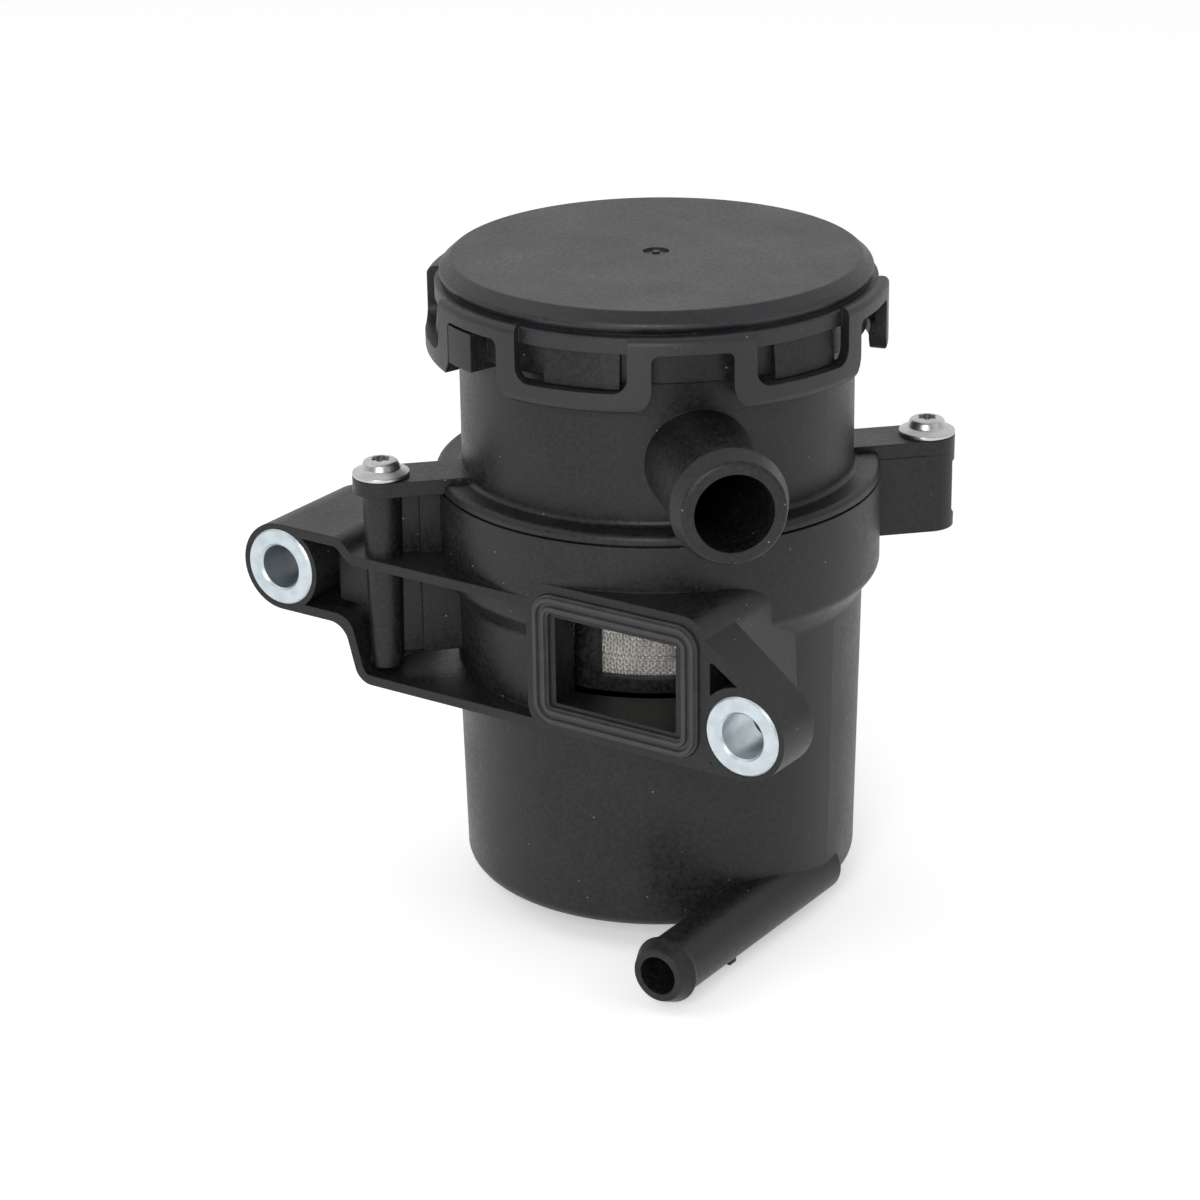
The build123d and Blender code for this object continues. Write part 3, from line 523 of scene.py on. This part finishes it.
@dataclass(frozen=True)
class PlatedMetal(Finish):
    """Zinc plated or bright steel with fine marks.

    Attributes:
        colour: linear colour of the plate.
        roughness: mean roughness.
        mark: distance between the marks.
        mark_height: height of the marks.
        mark_gloss: change of the roughness over the marks.
        relief: strength of the marks' bump.
        cloud: size of the cloudy patches.
        cloud_band: values of the clouds between which the colour changes.
        dull: brightness of the dull patches against the bright ones.
    """

    colour: Triple
    roughness: float
    mark: float = 0.25 * MM
    mark_height: float = 0.01 * MM
    mark_gloss: Range = (-0.06, 0.08)
    relief: float = 0.12
    cloud: float = 2.5 * MM
    cloud_band: Range = (0.35, 0.65)
    dull: float = 0.86

    def surface(self, graph: NodeGraph, place: Socket) -> dict[str, object]:
        """Build the metal's colour, roughness and bumps.

        Args:
            graph: the material's graph.
            place: object coordinates.

        Returns:
            The shader's inputs.
        """
        marks = graph.noise(place, self.mark, detail=3.0, roughness=0.6)
        cloud = graph.span(graph.noise(place, self.cloud, detail=2.0), self.cloud_band)
        gloss = graph.span(marks, NOISE_BAND, self.mark_gloss)
        return {
            "Base Color": graph.mix(cloud, grey(self.dull, self.colour), grey(1.0, self.colour)),
            "Metallic": 1.0,
            "Roughness": graph.math("ADD", gloss, self.roughness),
            "Normal": graph.bump(marks, self.relief, self.mark_height),
        }


class Look(Enum):
    """Finishes of the pieces, each with its material's name."""

    LID = "lid_plastic"
    UPPER = "upper_plastic"
    LOWER = "lower_plastic"
    BASKET = "basket_plastic"
    VALVE = "natural_nylon"
    GASKET = "gasket_rubber"
    SEAL = "seal_rubber"
    DIAPHRAGM = "diaphragm_rubber"
    BUSH = "blue_zinc"
    SCREW = "screw_zinc"
    SPRING = "spring_steel"
    WIRE = "knitted_wire"
    INNER_WIRE = "inner_wire"


class Slot(Enum):
    """Material slots of the record, one for each kind of finer piece."""

    BUSH = "zinc_steel"
    DIAPHRAGM = "diaphragm_rubber"
    MESH = "wire_mesh"
    SPRING = "spring_steel"


class Body(Enum):
    """Rigid bodies of the CAD model."""

    HOUSING = "housing"
    VALVE = "valve"


NODE_LOOKS = {
    "lid": Look.LID,
    "upper_housing": Look.UPPER,
    "lower_housing": Look.LOWER,
    "port_gasket": Look.GASKET,
    "bush_left": Look.BUSH,
    "bush_right": Look.BUSH,
    "screw_left": Look.SCREW,
    "screw_right": Look.SCREW,
    "housing_seal": Look.SEAL,
    "diaphragm": Look.DIAPHRAGM,
    "diaphragm_plate": Look.VALVE,
    "spring_cup": Look.VALVE,
    "regulator_spring": Look.SPRING,
    "mesh_pack": Look.WIRE,
    "mesh_basket": Look.BASKET,
    "mesh_cover": Look.BASKET,
}


@dataclass
class Wardrobe:
    """All finishes, each made once and shared.

    Attributes:
        finishes: the finish of each look.
        made: the materials made so far.
    """

    finishes: dict[Look, Finish] = field(
        default_factory=lambda: {
            # The lid's resin is paler and bluer than the housing's: painted sheen standing in for
            # the pale bluish light on its top
            Look.LID: MouldedPlastic(
                0.013, (1.0, 0.98, 1.16), 0.46, haze=0.4, ior=1.49, rings=FlowRings()
            ),
            Look.UPPER: MouldedPlastic(),
            Look.LOWER: MouldedPlastic(dust=Dust(share=0.5)),
            Look.BASKET: MouldedPlastic(0.012, roughness=0.4, dust=None),
            Look.VALVE: MouldedPlastic(0.52, (1.0, 0.96, 0.86), 0.45, haze=0.1, dust=None),
            Look.GASKET: Rubber(0.032),
            Look.SEAL: Rubber(0.02),
            Look.DIAPHRAGM: Rubber(0.05, (1.0, 0.6, 0.42)),
            Look.BUSH: PlatedMetal((0.60, 0.67, 0.71), 0.42),
            Look.SCREW: PlatedMetal((0.55, 0.55, 0.56), 0.36),
            Look.SPRING: PlatedMetal((0.55, 0.55, 0.57), 0.25),
            Look.WIRE: PlatedMetal((0.93, 0.90, 0.86), 0.4),
            # The inner layers are a darker copy of the skin's wire: painted shade deep inside the
            # pack
            Look.INNER_WIRE: PlatedMetal((0.55, 0.53, 0.50), 0.6),
        }
    )
    made: dict[Look, bpy.types.Material] = field(default_factory=dict)

    def get(self, look: Look) -> bpy.types.Material:
        """Material of a look, made at its first use.

        Args:
            look: the look.

        Returns:
            The material.
        """
        if look not in self.made:
            self.made[look] = self.finishes[look].build(look.value)
        return self.made[look]


class Workshop:
    """What every sub-assembly needs to make and dress its pieces."""

    def __init__(self, frame: dict) -> None:
        """Keep the frame and make the finishes.
        """
        self.nodes: dict[str, bpy.types.Object] = frame["nodes"]
        self.wardrobe = Wardrobe()

    def dress(self, node: str, look: Look) -> None:
        """Give a CAD node its finish.

        Args:
            node: the node's name.
            look: its look.
        """
        mesh = self.nodes[node].data
        material = self.wardrobe.get(look)
        if not mesh.materials:
            mesh.materials.append(material)
        for index in range(len(mesh.materials)):
            mesh.materials[index] = material
        LOG.info("dressed %s in %s", node, look.value)

    def keep(
        self, piece: bpy.types.Object, body: Body, slot: Slot, *nodes: str
    ) -> bpy.types.Object:
        """Let a new piece ride on a body and stand for CAD nodes.

        Args:
            piece: the new piece.
            body: the body that it rides on.
            slot: the record's material slot; not used.
            *nodes: CAD nodes that the piece stands for.

        Returns:
            The piece.
        """
        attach(piece, body.value)
        if nodes:
            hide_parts(*nodes)
        LOG.info("made %s on %s, %d faces", piece.name, body.value, len(piece.data.polygons))
        return piece


def new_object(
    name: str, mesh: bpy.types.Mesh, material: bpy.types.Material | None = None
) -> bpy.types.Object:
    """Put a mesh in the scene.

    Args:
        name: the object's name.
        mesh: its mesh.
        material: its material, if the mesh has none.

    Returns:
        The object.
    """
    piece = bpy.data.objects.new(name, mesh)
    bpy.context.collection.objects.link(piece)
    mesh.name = name
    if material is not None:
        mesh.materials.clear()
        mesh.materials.append(material)
    return piece


def smooth(mesh: bpy.types.Mesh) -> None:
    """Shade all faces of a mesh smooth."""
    for face in mesh.polygons:
        face.use_smooth = True


class GeometryTree:
    """A geometry node tree with named number inputs, turned into a plain mesh."""

    def __init__(self, name: str, inputs: dict[str, float]) -> None:
        """Start the tree.

        Args:
            name: the tree's name.
            inputs: name and value of each number input.
        """
        self.name = name
        self.values = inputs
        self.tree = bpy.data.node_groups.new(name, "GeometryNodeTree")
        self.sockets: dict[str, str] = {}
        panel = self.tree.interface
        for label, number in inputs.items():
            kind = "NodeSocketInt" if isinstance(number, int) else "NodeSocketFloat"
            socket = panel.new_socket(name=label, in_out="INPUT", socket_type=kind)
            self.sockets[label] = socket.identifier
        panel.new_socket(name="Geometry", in_out="OUTPUT", socket_type="NodeSocketGeometry")
        self.graph = NodeGraph(self.tree)
        self.group = self.graph.add("NodeGroupInput")

    def value(self, label: str) -> Socket:
        """Output of a named input."""
        return self.group.outputs[label]

    def wire(self, path: Socket, sides: int, caps: bool) -> Socket:
        """Sweep a round wire along a curve, with the input "Wire" as its radius.

        Args:
            path: the curve.
            sides: number of sides of the wire's section.
            caps: whether the wire's ends are closed.

        Returns:
            The wire's geometry.
        """
        circle = {"Resolution": sides, "Radius": self.value("Wire")}
        section = self.graph.add("GeometryNodeCurvePrimitiveCircle", circle).outputs[0]
        swept = {0: path, 1: section, "Fill Caps": caps}
        return self.graph.add("GeometryNodeCurveToMesh", swept).outputs[0]

    def finish(self, geometry: Socket, material: bpy.types.Material) -> bpy.types.Mesh:
        """End the tree and make its result a plain mesh.

        Args:
            geometry: the last geometry output.
            material: the material that is set on all faces.

        Returns:
            The mesh.
        """
        real = self.graph.add("GeometryNodeRealizeInstances", {0: geometry}).outputs[0]
        dressed = self.graph.add("GeometryNodeSetMaterial", {0: real, "Material": material})
        self.graph.add("NodeGroupOutput", {0: dressed.outputs[0]})
        carrier = bpy.data.objects.new(self.name, bpy.data.meshes.new(self.name))
        bpy.context.collection.objects.link(carrier)
        modifier = carrier.modifiers.new(self.name, "NODES")
        modifier.node_group = self.tree
        for label, number in self.values.items():
            modifier[self.sockets[label]] = number
        bpy.context.view_layer.update()
        evaluated = carrier.evaluated_get(bpy.context.evaluated_depsgraph_get())
        mesh = bpy.data.meshes.new_from_object(evaluated)
        carrier.modifiers.remove(modifier)
        bpy.data.objects.remove(carrier)
        return mesh


@dataclass(frozen=True)
class Arc:
    """Part of a turn, or a whole one, that a profile is turned through.

    Attributes:
        steps: number of steps.
        first: first angle, in degrees.
        last: last angle, in degrees.
    """

    steps: int
    first: float = 0.0
    last: float = FULL_TURN

    def angles(self) -> list[float]:
        """Angles at which the profile stands.

        Returns:
            The angles in radians. A whole turn leaves out the last, which is also the first.
        """
        sweep = self.last - self.first
        count = self.steps if sweep >= FULL_TURN else self.steps + 1
        return [math.radians(self.first + sweep * step / self.steps) for step in range(count)]


def lathe(name: str, profile: Outline, origin: Vector, along: Vector, arc: Arc) -> bpy.types.Mesh:
    """Turn a closed profile about an axis.

    Args:
        name: the mesh's name.
        profile: radius and height of each corner, in metres.
        origin: point on the axis at height 0.
        along: direction of the axis, +Y or +Z.
        arc: how far the profile is turned.

    Returns:
        The mesh, smooth apart from its sharp edges.
    """
    side = Vector((1.0, 0.0, 0.0))
    other = along.cross(side)
    corners = []
    angles = arc.angles()
    for angle in angles:
        out = math.cos(angle) * side + math.sin(angle) * other
        corners += [origin + radius * out + height * along for radius, height in profile]
    count = len(profile)
    faces = []
    for step in range(arc.steps):
        here, there = step * count, (step + 1) % len(angles) * count
        for corner in range(count):
            after = (corner + 1) % count
            faces.append((here + corner, there + corner, there + after, here + after))
    mesh = bpy.data.meshes.new(name)
    mesh.from_pydata(corners, [], faces)
    work = bmesh.new()
    work.from_mesh(mesh)
    bmesh.ops.recalc_face_normals(work, faces=work.faces)
    work.to_mesh(mesh)
    work.free()
    smooth(mesh)
    mesh.set_sharp_from_angle(angle=CREASE)
    return mesh


@dataclass(frozen=True)
class Bushes:
    """The two steel bushes that the mounting bolts pass through.

    Attributes:
        outer: outer radius.
        bore: radius of the bore.
        length: length along the bolt.
        chamfer: chamfer of the outer edges.
        mouth: chamfer of the bore.
        steps: number of flats round the bush.
        places: centre of each bush by its CAD node.
    """

    outer: float = 8.0 * MM
    bore: float = 4.5 * MM
    length: float = 11.5 * MM
    chamfer: float = 0.45 * MM
    mouth: float = 0.45 * MM
    steps: int = 128
    places: dict[str, Triple] = field(
        default_factory=lambda: {
            "bush_right": (0.0, 0.0, 0.0),
            "bush_left": (-108.78 * MM, 0.0, 11.8 * MM),
        }
    )

    def build(self, shop: Workshop) -> None:
        """Make both bushes.

        Args:
            shop: the workshop.
        """
        half = self.length / 2
        profile = [
            (self.bore, half - self.mouth),
            (self.bore + self.mouth, half),
            (self.outer - self.chamfer, half),
            (self.outer, half - self.chamfer),
            (self.outer, self.chamfer - half),
            (self.outer - self.chamfer, -half),
            (self.bore + self.mouth, -half),
            (self.bore, self.mouth - half),
        ]
        for node, place in self.places.items():
            name = f"plain_{node}"
            mesh = lathe(name, profile, Vector(place), ALONG_BOLTS, Arc(self.steps))
            piece = new_object(name, mesh, shop.wardrobe.get(Look.BUSH))
            shop.keep(piece, Body.HOUSING, Slot.BUSH, node)


@dataclass(frozen=True)
class WirePack:
    """Drum of knitted wire that separates the oil.

    Attributes:
        radius: outer radius.
        foot: height of its underside, in millimetres over the canister's underside.
        height: its height.
        loops: stitches round the drum.
        steps: segments of one stitch.
        courses: rows of stitches.
        wire: radius of the wire.
        wire_sides: number of sides of the wire's section.
        swing: how far a stitch leans to the side, as a share of its width.
        reach: how far a stitch reaches up and down, as a share of the rows' distance.
        depth: how far the wire weaves in and out.
        slip: how far a row is turned to either side at random, in radians.
        seed: seed of the rows' turn.
        skin: distance between the knitted skin and the inner layers.
        core_steps: number of flats round the inner layers.
    """

    radius: float = 31.1 * MM
    foot: float = 50.0
    height: float = 27.8 * MM
    loops: int = 150
    steps: int = 8
    courses: int = 26
    wire: float = 0.13 * MM
    wire_sides: int = 3
    swing: float = 0.2
    reach: float = 0.85
    depth: float = 0.14 * MM
    slip: float = 0.006
    seed: int = 7
    skin: float = 0.5 * MM
    core_steps: int = 96

    def course(self, made: GeometryTree) -> Socket:
        """Knit one row of stitches.

        Args:
            made: the tree.

        Returns:
            The row's geometry, about the axis at height 0.
        """
        graph = made.graph
        index = graph.add("GeometryNodeInputIndex").outputs[0]
        turn = graph.math("MULTIPLY", index, math.tau / self.steps)
        double = graph.math("MULTIPLY", turn, 2.0)
        lean = graph.math("MULTIPLY", graph.math("SINE", double), self.swing * math.tau)
        angle = graph.math("DIVIDE", graph.math("ADD", turn, lean), float(self.loops))
        rise = graph.math("MULTIPLY", made.value("Pitch"), self.reach)
        weave = graph.math("MULTIPLY", graph.math("COSINE", double), self.depth)
        out = graph.math("ADD", made.value("Radius"), weave)
        place = {
            0: graph.math("MULTIPLY", out, graph.math("COSINE", angle)),
            1: graph.math("MULTIPLY", out, graph.math("SINE", angle)),
            2: graph.math("MULTIPLY", graph.math("COSINE", turn), rise),
        }
        where = graph.add("ShaderNodeCombineXYZ", place).outputs[0]
        line = graph.add("GeometryNodeMeshLine", {"Count": made.value("Points")}, mode="OFFSET")
        bent = graph.add("GeometryNodeSetPosition", {0: line.outputs[0], "Position": where})
        thread = graph.add("GeometryNodeMeshToCurve", {0: bent.outputs[0]}).outputs[0]
        return made.wire(thread, self.wire_sides, caps=False)

    def stitches(self, shop: Workshop) -> bpy.types.Mesh:
        """Knit the drum with a geometry node tree.

        Args:
            shop: the workshop.

        Returns:
            The mesh, its foot at height 0.
        """
        made = GeometryTree(
            "knitted_pack",
            {
                "Points": self.loops * self.steps + 1,
                "Courses": self.courses,
                "Pitch": self.height / self.courses,
                "Wire": self.wire,
                "Radius": self.radius,
                "Seed": self.seed,
            },
        )
        graph = made.graph
        step = graph.add("ShaderNodeCombineXYZ", {2: made.value("Pitch")}).outputs[0]
        stack = {"Count": made.value("Courses"), "Offset": step}
        rows = graph.add("GeometryNodeMeshLine", stack, mode="OFFSET").outputs[0]
        limits = {2: -self.slip, 3: self.slip, "Seed": made.value("Seed")}
        slip = graph.add("FunctionNodeRandomValue", limits, data_type="FLOAT").outputs[1]
        spin = graph.add("ShaderNodeCombineXYZ", {2: slip}).outputs[0]
        placed = graph.add(
            "GeometryNodeInstanceOnPoints",
            {"Points": rows, "Instance": self.course(made), "Rotation": spin},
        )
        return made.finish(placed.outputs[0], shop.wardrobe.get(Look.WIRE))

    def build(self, shop: Workshop) -> None:
        """Make the knitted skin and the inner layers.

        Args:
            shop: the workshop.
        """
        mesh = self.stitches(shop)
        lift = on_axis(self.foot) + UP * (self.height / self.courses / 2)
        mesh.transform(Matrix.Translation(lift))
        smooth(mesh)
        shop.keep(new_object("knitted_pack", mesh), Body.HOUSING, Slot.MESH, "mesh_pack")
        inner = self.radius - self.skin
        profile = [(0.0, 0.0), (inner, 0.0), (inner, self.height), (0.0, self.height)]
        core = lathe("inner_layers", profile, on_axis(self.foot), UP, Arc(self.core_steps))
        # Painted shade: the solid inner drum takes the darker copy of the wire
        piece = new_object("inner_layers", core, shop.wardrobe.get(Look.INNER_WIRE))
        shop.keep(piece, Body.HOUSING, Slot.MESH)


@dataclass(frozen=True)
class RegulatorSpring:
    """Compression spring under the valve's cup.

    Attributes:
        radius: radius of the coil, to the middle of the wire.
        wire: radius of the wire.
        wire_sides: number of sides of the wire's section.
        turns: number of turns.
        turn_steps: segments of one turn.
        foot: height of the wire's middle at the foot, in millimetres over the canister's underside.
        rise: height between the wire's middle at the foot and at the head.
        seat: height that the spring stands on, in millimetres over the canister's underside; not
            used.
        travel: how far the valve moves down; not used.
    """

    radius: float = 14.4 * MM
    wire: float = 0.6 * MM
    wire_sides: int = 12
    turns: float = 3.6
    turn_steps: int = 40
    foot: float = 108.25
    rise: float = 8.05 * MM
    seat: float = 107.6
    travel: float = 3.5 * MM

    def build(self, shop: Workshop) -> None:
        """Wind the spring.

        Args:
            shop: the workshop.
        """
        made = GeometryTree(
            "wound_spring",
            {"Turns": self.turns, "Radius": self.radius, "Rise": self.rise, "Wire": self.wire},
        )
        winding = {
            "Resolution": self.turn_steps,
            "Rotations": made.value("Turns"),
            "Start Radius": made.value("Radius"),
            "End Radius": made.value("Radius"),
            "Height": made.value("Rise"),
        }
        coil = made.graph.add("GeometryNodeCurveSpiral", winding).outputs[0]
        wound = made.wire(coil, self.wire_sides, caps=True)
        mesh = made.finish(wound, shop.wardrobe.get(Look.SPRING))
        mesh.transform(Matrix.Translation(on_axis(self.foot)))
        smooth(mesh)
        coiled = new_object("wound_spring", mesh)
        piece = shop.keep(coiled, Body.HOUSING, Slot.SPRING, "regulator_spring")
        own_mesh(piece)


@dataclass(frozen=True)
class RollingDiaphragm:
    """Rubber diaphragm: clamped bead and flat, rolling fold, and the middle that moves.

    Its sizes are in millimetres, with heights over the canister's underside.

    Attributes:
        bead_radius: outer radius of the bead.
        bead_width: its width.
        bead_foot: height of its underside.
        bead_height: its own height.
        flat: height of the outer flat.
        fold_outer: outer radius of the fold.
        fold_inner: inner radius of the fold.
        fold_foot: lowest height of the fold.
        fold_steps: number of steps along the fold's bend.
        middle: height of the middle.
        hole: radius of the hole for the stud.
        thickness: thickness of the rubber.
        sectors: number of parts that the fold is made of.
        steps: number of steps round the diaphragm.
    """

    bead_radius: float = 40.0
    bead_width: float = 1.6
    bead_foot: float = 118.3
    bead_height: float = 2.2
    flat: float = 119.5
    fold_outer: float = 34.6
    fold_inner: float = 28.8
    fold_foot: float = 115.9
    fold_steps: int = 12
    middle: float = 118.4
    hole: float = 3.3
    thickness: float = 0.8
    sectors: int = 12
    steps: int = 96

    def turned(
        self, name: str, outline: Outline, arc: Arc, rubber: bpy.types.Material
    ) -> bpy.types.Object:
        """Turn an outline about the canister's axis and put it in the scene.

        Args:
            name: the object's name.
            outline: radius and height of each corner, in millimetres.
            arc: how far it is turned.
            rubber: its material.

        Returns:
            The object.
        """
        profile = [(radius * MM, height * MM) for radius, height in outline]
        return new_object(name, lathe(name, profile, on_axis(0.0), UP, arc), rubber)

    def clamped(self) -> Outline:
        """Outline of the bead and the outer flat.

        Returns:
            Radius and height of each corner, in millimetres.
        """
        half = self.thickness / 2
        inner = self.bead_radius - self.bead_width
        bead_top = self.bead_foot + self.bead_height
        return [
            (self.fold_outer, self.flat - half),
            (inner, self.flat - half),
            (inner, self.bead_foot),
            (self.bead_radius, self.bead_foot),
            (self.bead_radius, bead_top),
            (inner, bead_top),
            (inner, self.flat + half),
            (self.fold_outer, self.flat + half),
        ]

    def disc(self) -> Outline:
        """Outline of the middle.

        Returns:
            Radius and height of each corner, in millimetres.
        """
        half = self.thickness / 2
        return [
            (self.hole, self.middle - half),
            (self.fold_inner, self.middle - half),
            (self.fold_inner, self.middle + half),
            (self.hole, self.middle + half),
        ]

    def fold(self) -> Outline:
        """Outline of the fold, with its thickness.

        Returns:
            Radius and height of each corner, in millimetres.
        """
        centre = (self.fold_outer + self.fold_inner) / 2
        half = (self.fold_outer - self.fold_inner) / 2
        depth = (self.flat + self.middle) / 2 - self.fold_foot
        last = self.fold_steps
        line = []
        for step in range(last + 1):
            angle = math.pi * step / last
            level = self.flat + (self.middle - self.flat) * step / last
            line.append((centre + half * math.cos(angle), level - depth * math.sin(angle)))
        upper, lower = [], []
        for step, (radius, height) in enumerate(line):
            before, after = line[max(step - 1, 0)], line[min(step + 1, last)]
            way = Vector((after[0] - before[0], after[1] - before[1])).normalized()
            normal = Vector((-way.y, way.x)) * self.thickness / 2
            upper.append((radius + normal.x, height + normal.y))
            lower.append((radius - normal.x, height - normal.y))
        return upper + lower[::-1]

    def build(self, shop: Workshop) -> None:
        """Make the clamped part, the middle and the fold's sectors.

        Args:
            shop: the workshop.
        """
        rubber = shop.wardrobe.get(Look.DIAPHRAGM)
        rim = self.turned("diaphragm_rim", self.clamped(), Arc(self.steps), rubber)
        shop.keep(rim, Body.HOUSING, Slot.DIAPHRAGM, "diaphragm")
        middle = self.turned("diaphragm_middle", self.disc(), Arc(self.steps), rubber)
        shop.keep(middle, Body.VALVE, Slot.DIAPHRAGM)
        width = FULL_TURN / self.sectors
        outline = self.fold()
        for sector in range(self.sectors):
            arc = Arc(self.steps // self.sectors, sector * width, (sector + 1) * width)
            piece = self.turned(f"diaphragm_fold_{sector + 1}", outline, arc, rubber)
            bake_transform(piece)
            LOG.info("made %s, which bends between both bodies", piece.name)


@dataclass(frozen=True)
class Lamp:
    """A soft square lamp that looks at the object.

    Attributes:
        name: its name.
        place: its place.
        side: the side of its square.
        watts: its power.
    """

    name: str
    place: Triple
    side: float
    watts: float

    def build(self, target: Vector) -> None:
        """Make the lamp.

        Args:
            target: the point that it looks at.
        """
        data = bpy.data.lights.new(self.name, "AREA")
        data.shape = "SQUARE"
        data.size = self.side
        data.energy = self.watts
        lamp = bpy.data.objects.new(self.name, data)
        bpy.context.collection.objects.link(lamp)
        lamp.location = self.place
        lamp.rotation_mode = "QUATERNION"
        lamp.rotation_quaternion = (target - Vector(self.place)).to_track_quat("-Z", "Y")


@dataclass(frozen=True)
class Studio:
    """Pale floor, soft light and a camera at the photograph's angle.

    Attributes:
        camera_place: the camera's place.
        yaw: its turn about Z, in degrees, 0 looking along +Y.
        pitch: how far it looks down, in degrees.
        roll: its roll, in degrees.
        lens: its focal length, in millimetres.
        sensor: width of its sensor, in millimetres.
        clip: nearest and farthest distance that it sees.
        lamps: the lamps.
        sky_band: heights of a ray between which the light grows.
        sky: strength of the light at those heights.
        room: share of the light that is left behind the camera.
        room_band: how far ahead a ray looks where that share starts and ends.
        backdrop_band: how far ahead a ray looks where reflections see the full backdrop.
        floor_half: half the side of the floor.
        floor_colour: linear brightness of the floor.
        floor_glow: light that the floor adds for the camera and for reflections.
    """

    camera_place: Triple = (0.31448, -0.51544, 0.26461)
    yaw: float = -34.1491
    pitch: float = 21.5873
    roll: float = 0.8313
    lens: float = 105.603
    sensor: float = 36.0
    clip: Range = (0.01, 20.0)
    lamps: tuple[Lamp, ...] = (
        Lamp("key_lamp", (-0.5, -0.55, 0.75), 0.6, 1.2),
        Lamp("side_lamp", (0.75, 0.05, 0.45), 0.5, 0.8),
        Lamp("front_lamp", (0.26, -0.66, 0.34), 0.3, 3.2),
    )
    sky_band: Range = (-0.2, 0.9)
    sky: Range = (0.6, 0.95)
    room: float = 0.3
    room_band: Range = (-0.7, 0.4)
    backdrop_band: Range = (0.1, 0.7)
    floor_half: float = 3.0
    floor_colour: float = 0.86
    floor_glow: float = 0.4

    def camera(self) -> None:
        """Make the camera."""
        data = bpy.data.cameras.new("photo_camera")
        data.sensor_width = self.sensor
        data.lens = self.lens
        data.clip_start, data.clip_end = self.clip
        camera = bpy.data.objects.new("photo_camera", data)
        bpy.context.collection.objects.link(camera)
        yaw, pitch, roll = (math.radians(angle) for angle in (self.yaw, self.pitch, self.roll))
        flat = math.cos(pitch)
        ahead = Vector((math.sin(yaw) * flat, math.cos(yaw) * flat, -math.sin(pitch)))
        level = Vector((math.cos(yaw), -math.sin(yaw), 0.0))
        down = ahead.cross(level)
        right = math.cos(roll) * level + math.sin(roll) * down
        up = math.sin(roll) * level - math.cos(roll) * down
        turn = Matrix((right, up, -ahead)).transposed()
        camera.matrix_world = Matrix.Translation(self.camera_place) @ turn.to_4x4()
        bpy.context.scene.camera = camera

    def world(self) -> None:
        """White surroundings that light the object evenly, darker behind the camera."""
        world = bpy.data.worlds.new("white_tent")
        bpy.context.scene.world = world
        world.use_nodes = True
        world.node_tree.nodes.clear()
        graph = NodeGraph(world.node_tree)
        way = graph.add("ShaderNodeTexCoord").outputs["Generated"]
        yaw = math.radians(self.yaw)
        level_way = (math.sin(yaw), math.cos(yaw), 0.0)
        ahead = graph.vector("DOT_PRODUCT", way, level_way).outputs["Value"]
        height = graph.add("ShaderNodeSeparateXYZ", {0: way}).outputs[2]
        room = graph.span(ahead, self.room_band, (self.room, 1.0))
        level = graph.math("MULTIPLY", graph.span(height, self.sky_band, self.sky), room)
        tent = graph.add("ShaderNodeBackground", {"Color": WHITE, "Strength": level})
        backdrop = graph.add("ShaderNodeBackground", {"Color": WHITE, "Strength": 1.0})
        ray = graph.add("ShaderNodeLightPath").outputs
        mirrored = graph.math("MAXIMUM", ray["Is Glossy Ray"], ray["Is Transmission Ray"])
        mirrored = graph.math("MULTIPLY", mirrored, graph.span(ahead, self.backdrop_band))
        seen = graph.math("MAXIMUM", mirrored, ray["Is Camera Ray"])
        mixed = {0: seen, 1: tent.outputs[0], 2: backdrop.outputs[0]}
        surface = graph.add("ShaderNodeMixShader", mixed).outputs[0]
        graph.add("ShaderNodeOutputWorld", {"Surface": surface})

    def floor(self, height: float) -> None:
        """Make the white floor, which keeps the object's shadow.

        Args:
            height: height of the floor.
        """
        half = self.floor_half
        square = ((-half, -half), (half, -half), (half, half), (-half, half))
        corners = [(x, y, height) for x, y in square]
        mesh = bpy.data.meshes.new("floor")
        mesh.from_pydata(corners, [], [(0, 1, 2, 3)])
        material, graph = start_material("white_floor")
        paper = graph.add("ShaderNodeBsdfDiffuse", {"Color": grey(self.floor_colour)}).outputs[0]
        glow = graph.add("ShaderNodeEmission", {"Color": WHITE, "Strength": self.floor_glow})
        both = graph.add("ShaderNodeAddShader", {0: paper, 1: glow.outputs[0]}).outputs[0]
        ray = graph.add("ShaderNodeLightPath").outputs
        seen = graph.math("MAXIMUM", ray["Is Camera Ray"], ray["Is Glossy Ray"])
        surface = graph.add("ShaderNodeMixShader", {0: seen, 1: paper, 2: both}).outputs[0]
        graph.add("ShaderNodeOutputMaterial", {"Surface": surface})
        floor = new_object("floor", mesh, material)
        floor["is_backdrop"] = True

    def build(self, lowest: float) -> None:
        """Make the whole studio.

        Args:
            lowest: height of the object's lowest point.
        """
        bpy.context.scene.view_settings.view_transform = "Standard"
        self.camera()
        self.world()
        self.floor(lowest)
        target = Vector((AXIS_X, AXIS_Y, 0.0))
        for lamp in self.lamps:
            lamp.build(target)
        LOG.info("studio ready")


def plain_box(corners: tuple[Vector, Vector]) -> list[list[float]]:
    """Two corners as plain lists of numbers."""
    return [[float(part) for part in corner] for corner in corners]


def main() -> None:
    """Build all looks round the frame."""
    logging.basicConfig(level=logging.INFO, format="%(name)s: %(message)s")
    for thing in list(bpy.data.objects):
        bpy.data.objects.remove(thing)
    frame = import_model()
    cad_box = plain_box(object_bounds())
    shop = Workshop(frame)
    for node, look in NODE_LOOKS.items():
        shop.dress(node, look)
    for assembly in (Bushes(), WirePack(), RegulatorSpring(), RollingDiaphragm()):
        assembly.build(shop)
    Studio().build(cad_box[0][2])


if __name__ == "__main__":
    main()
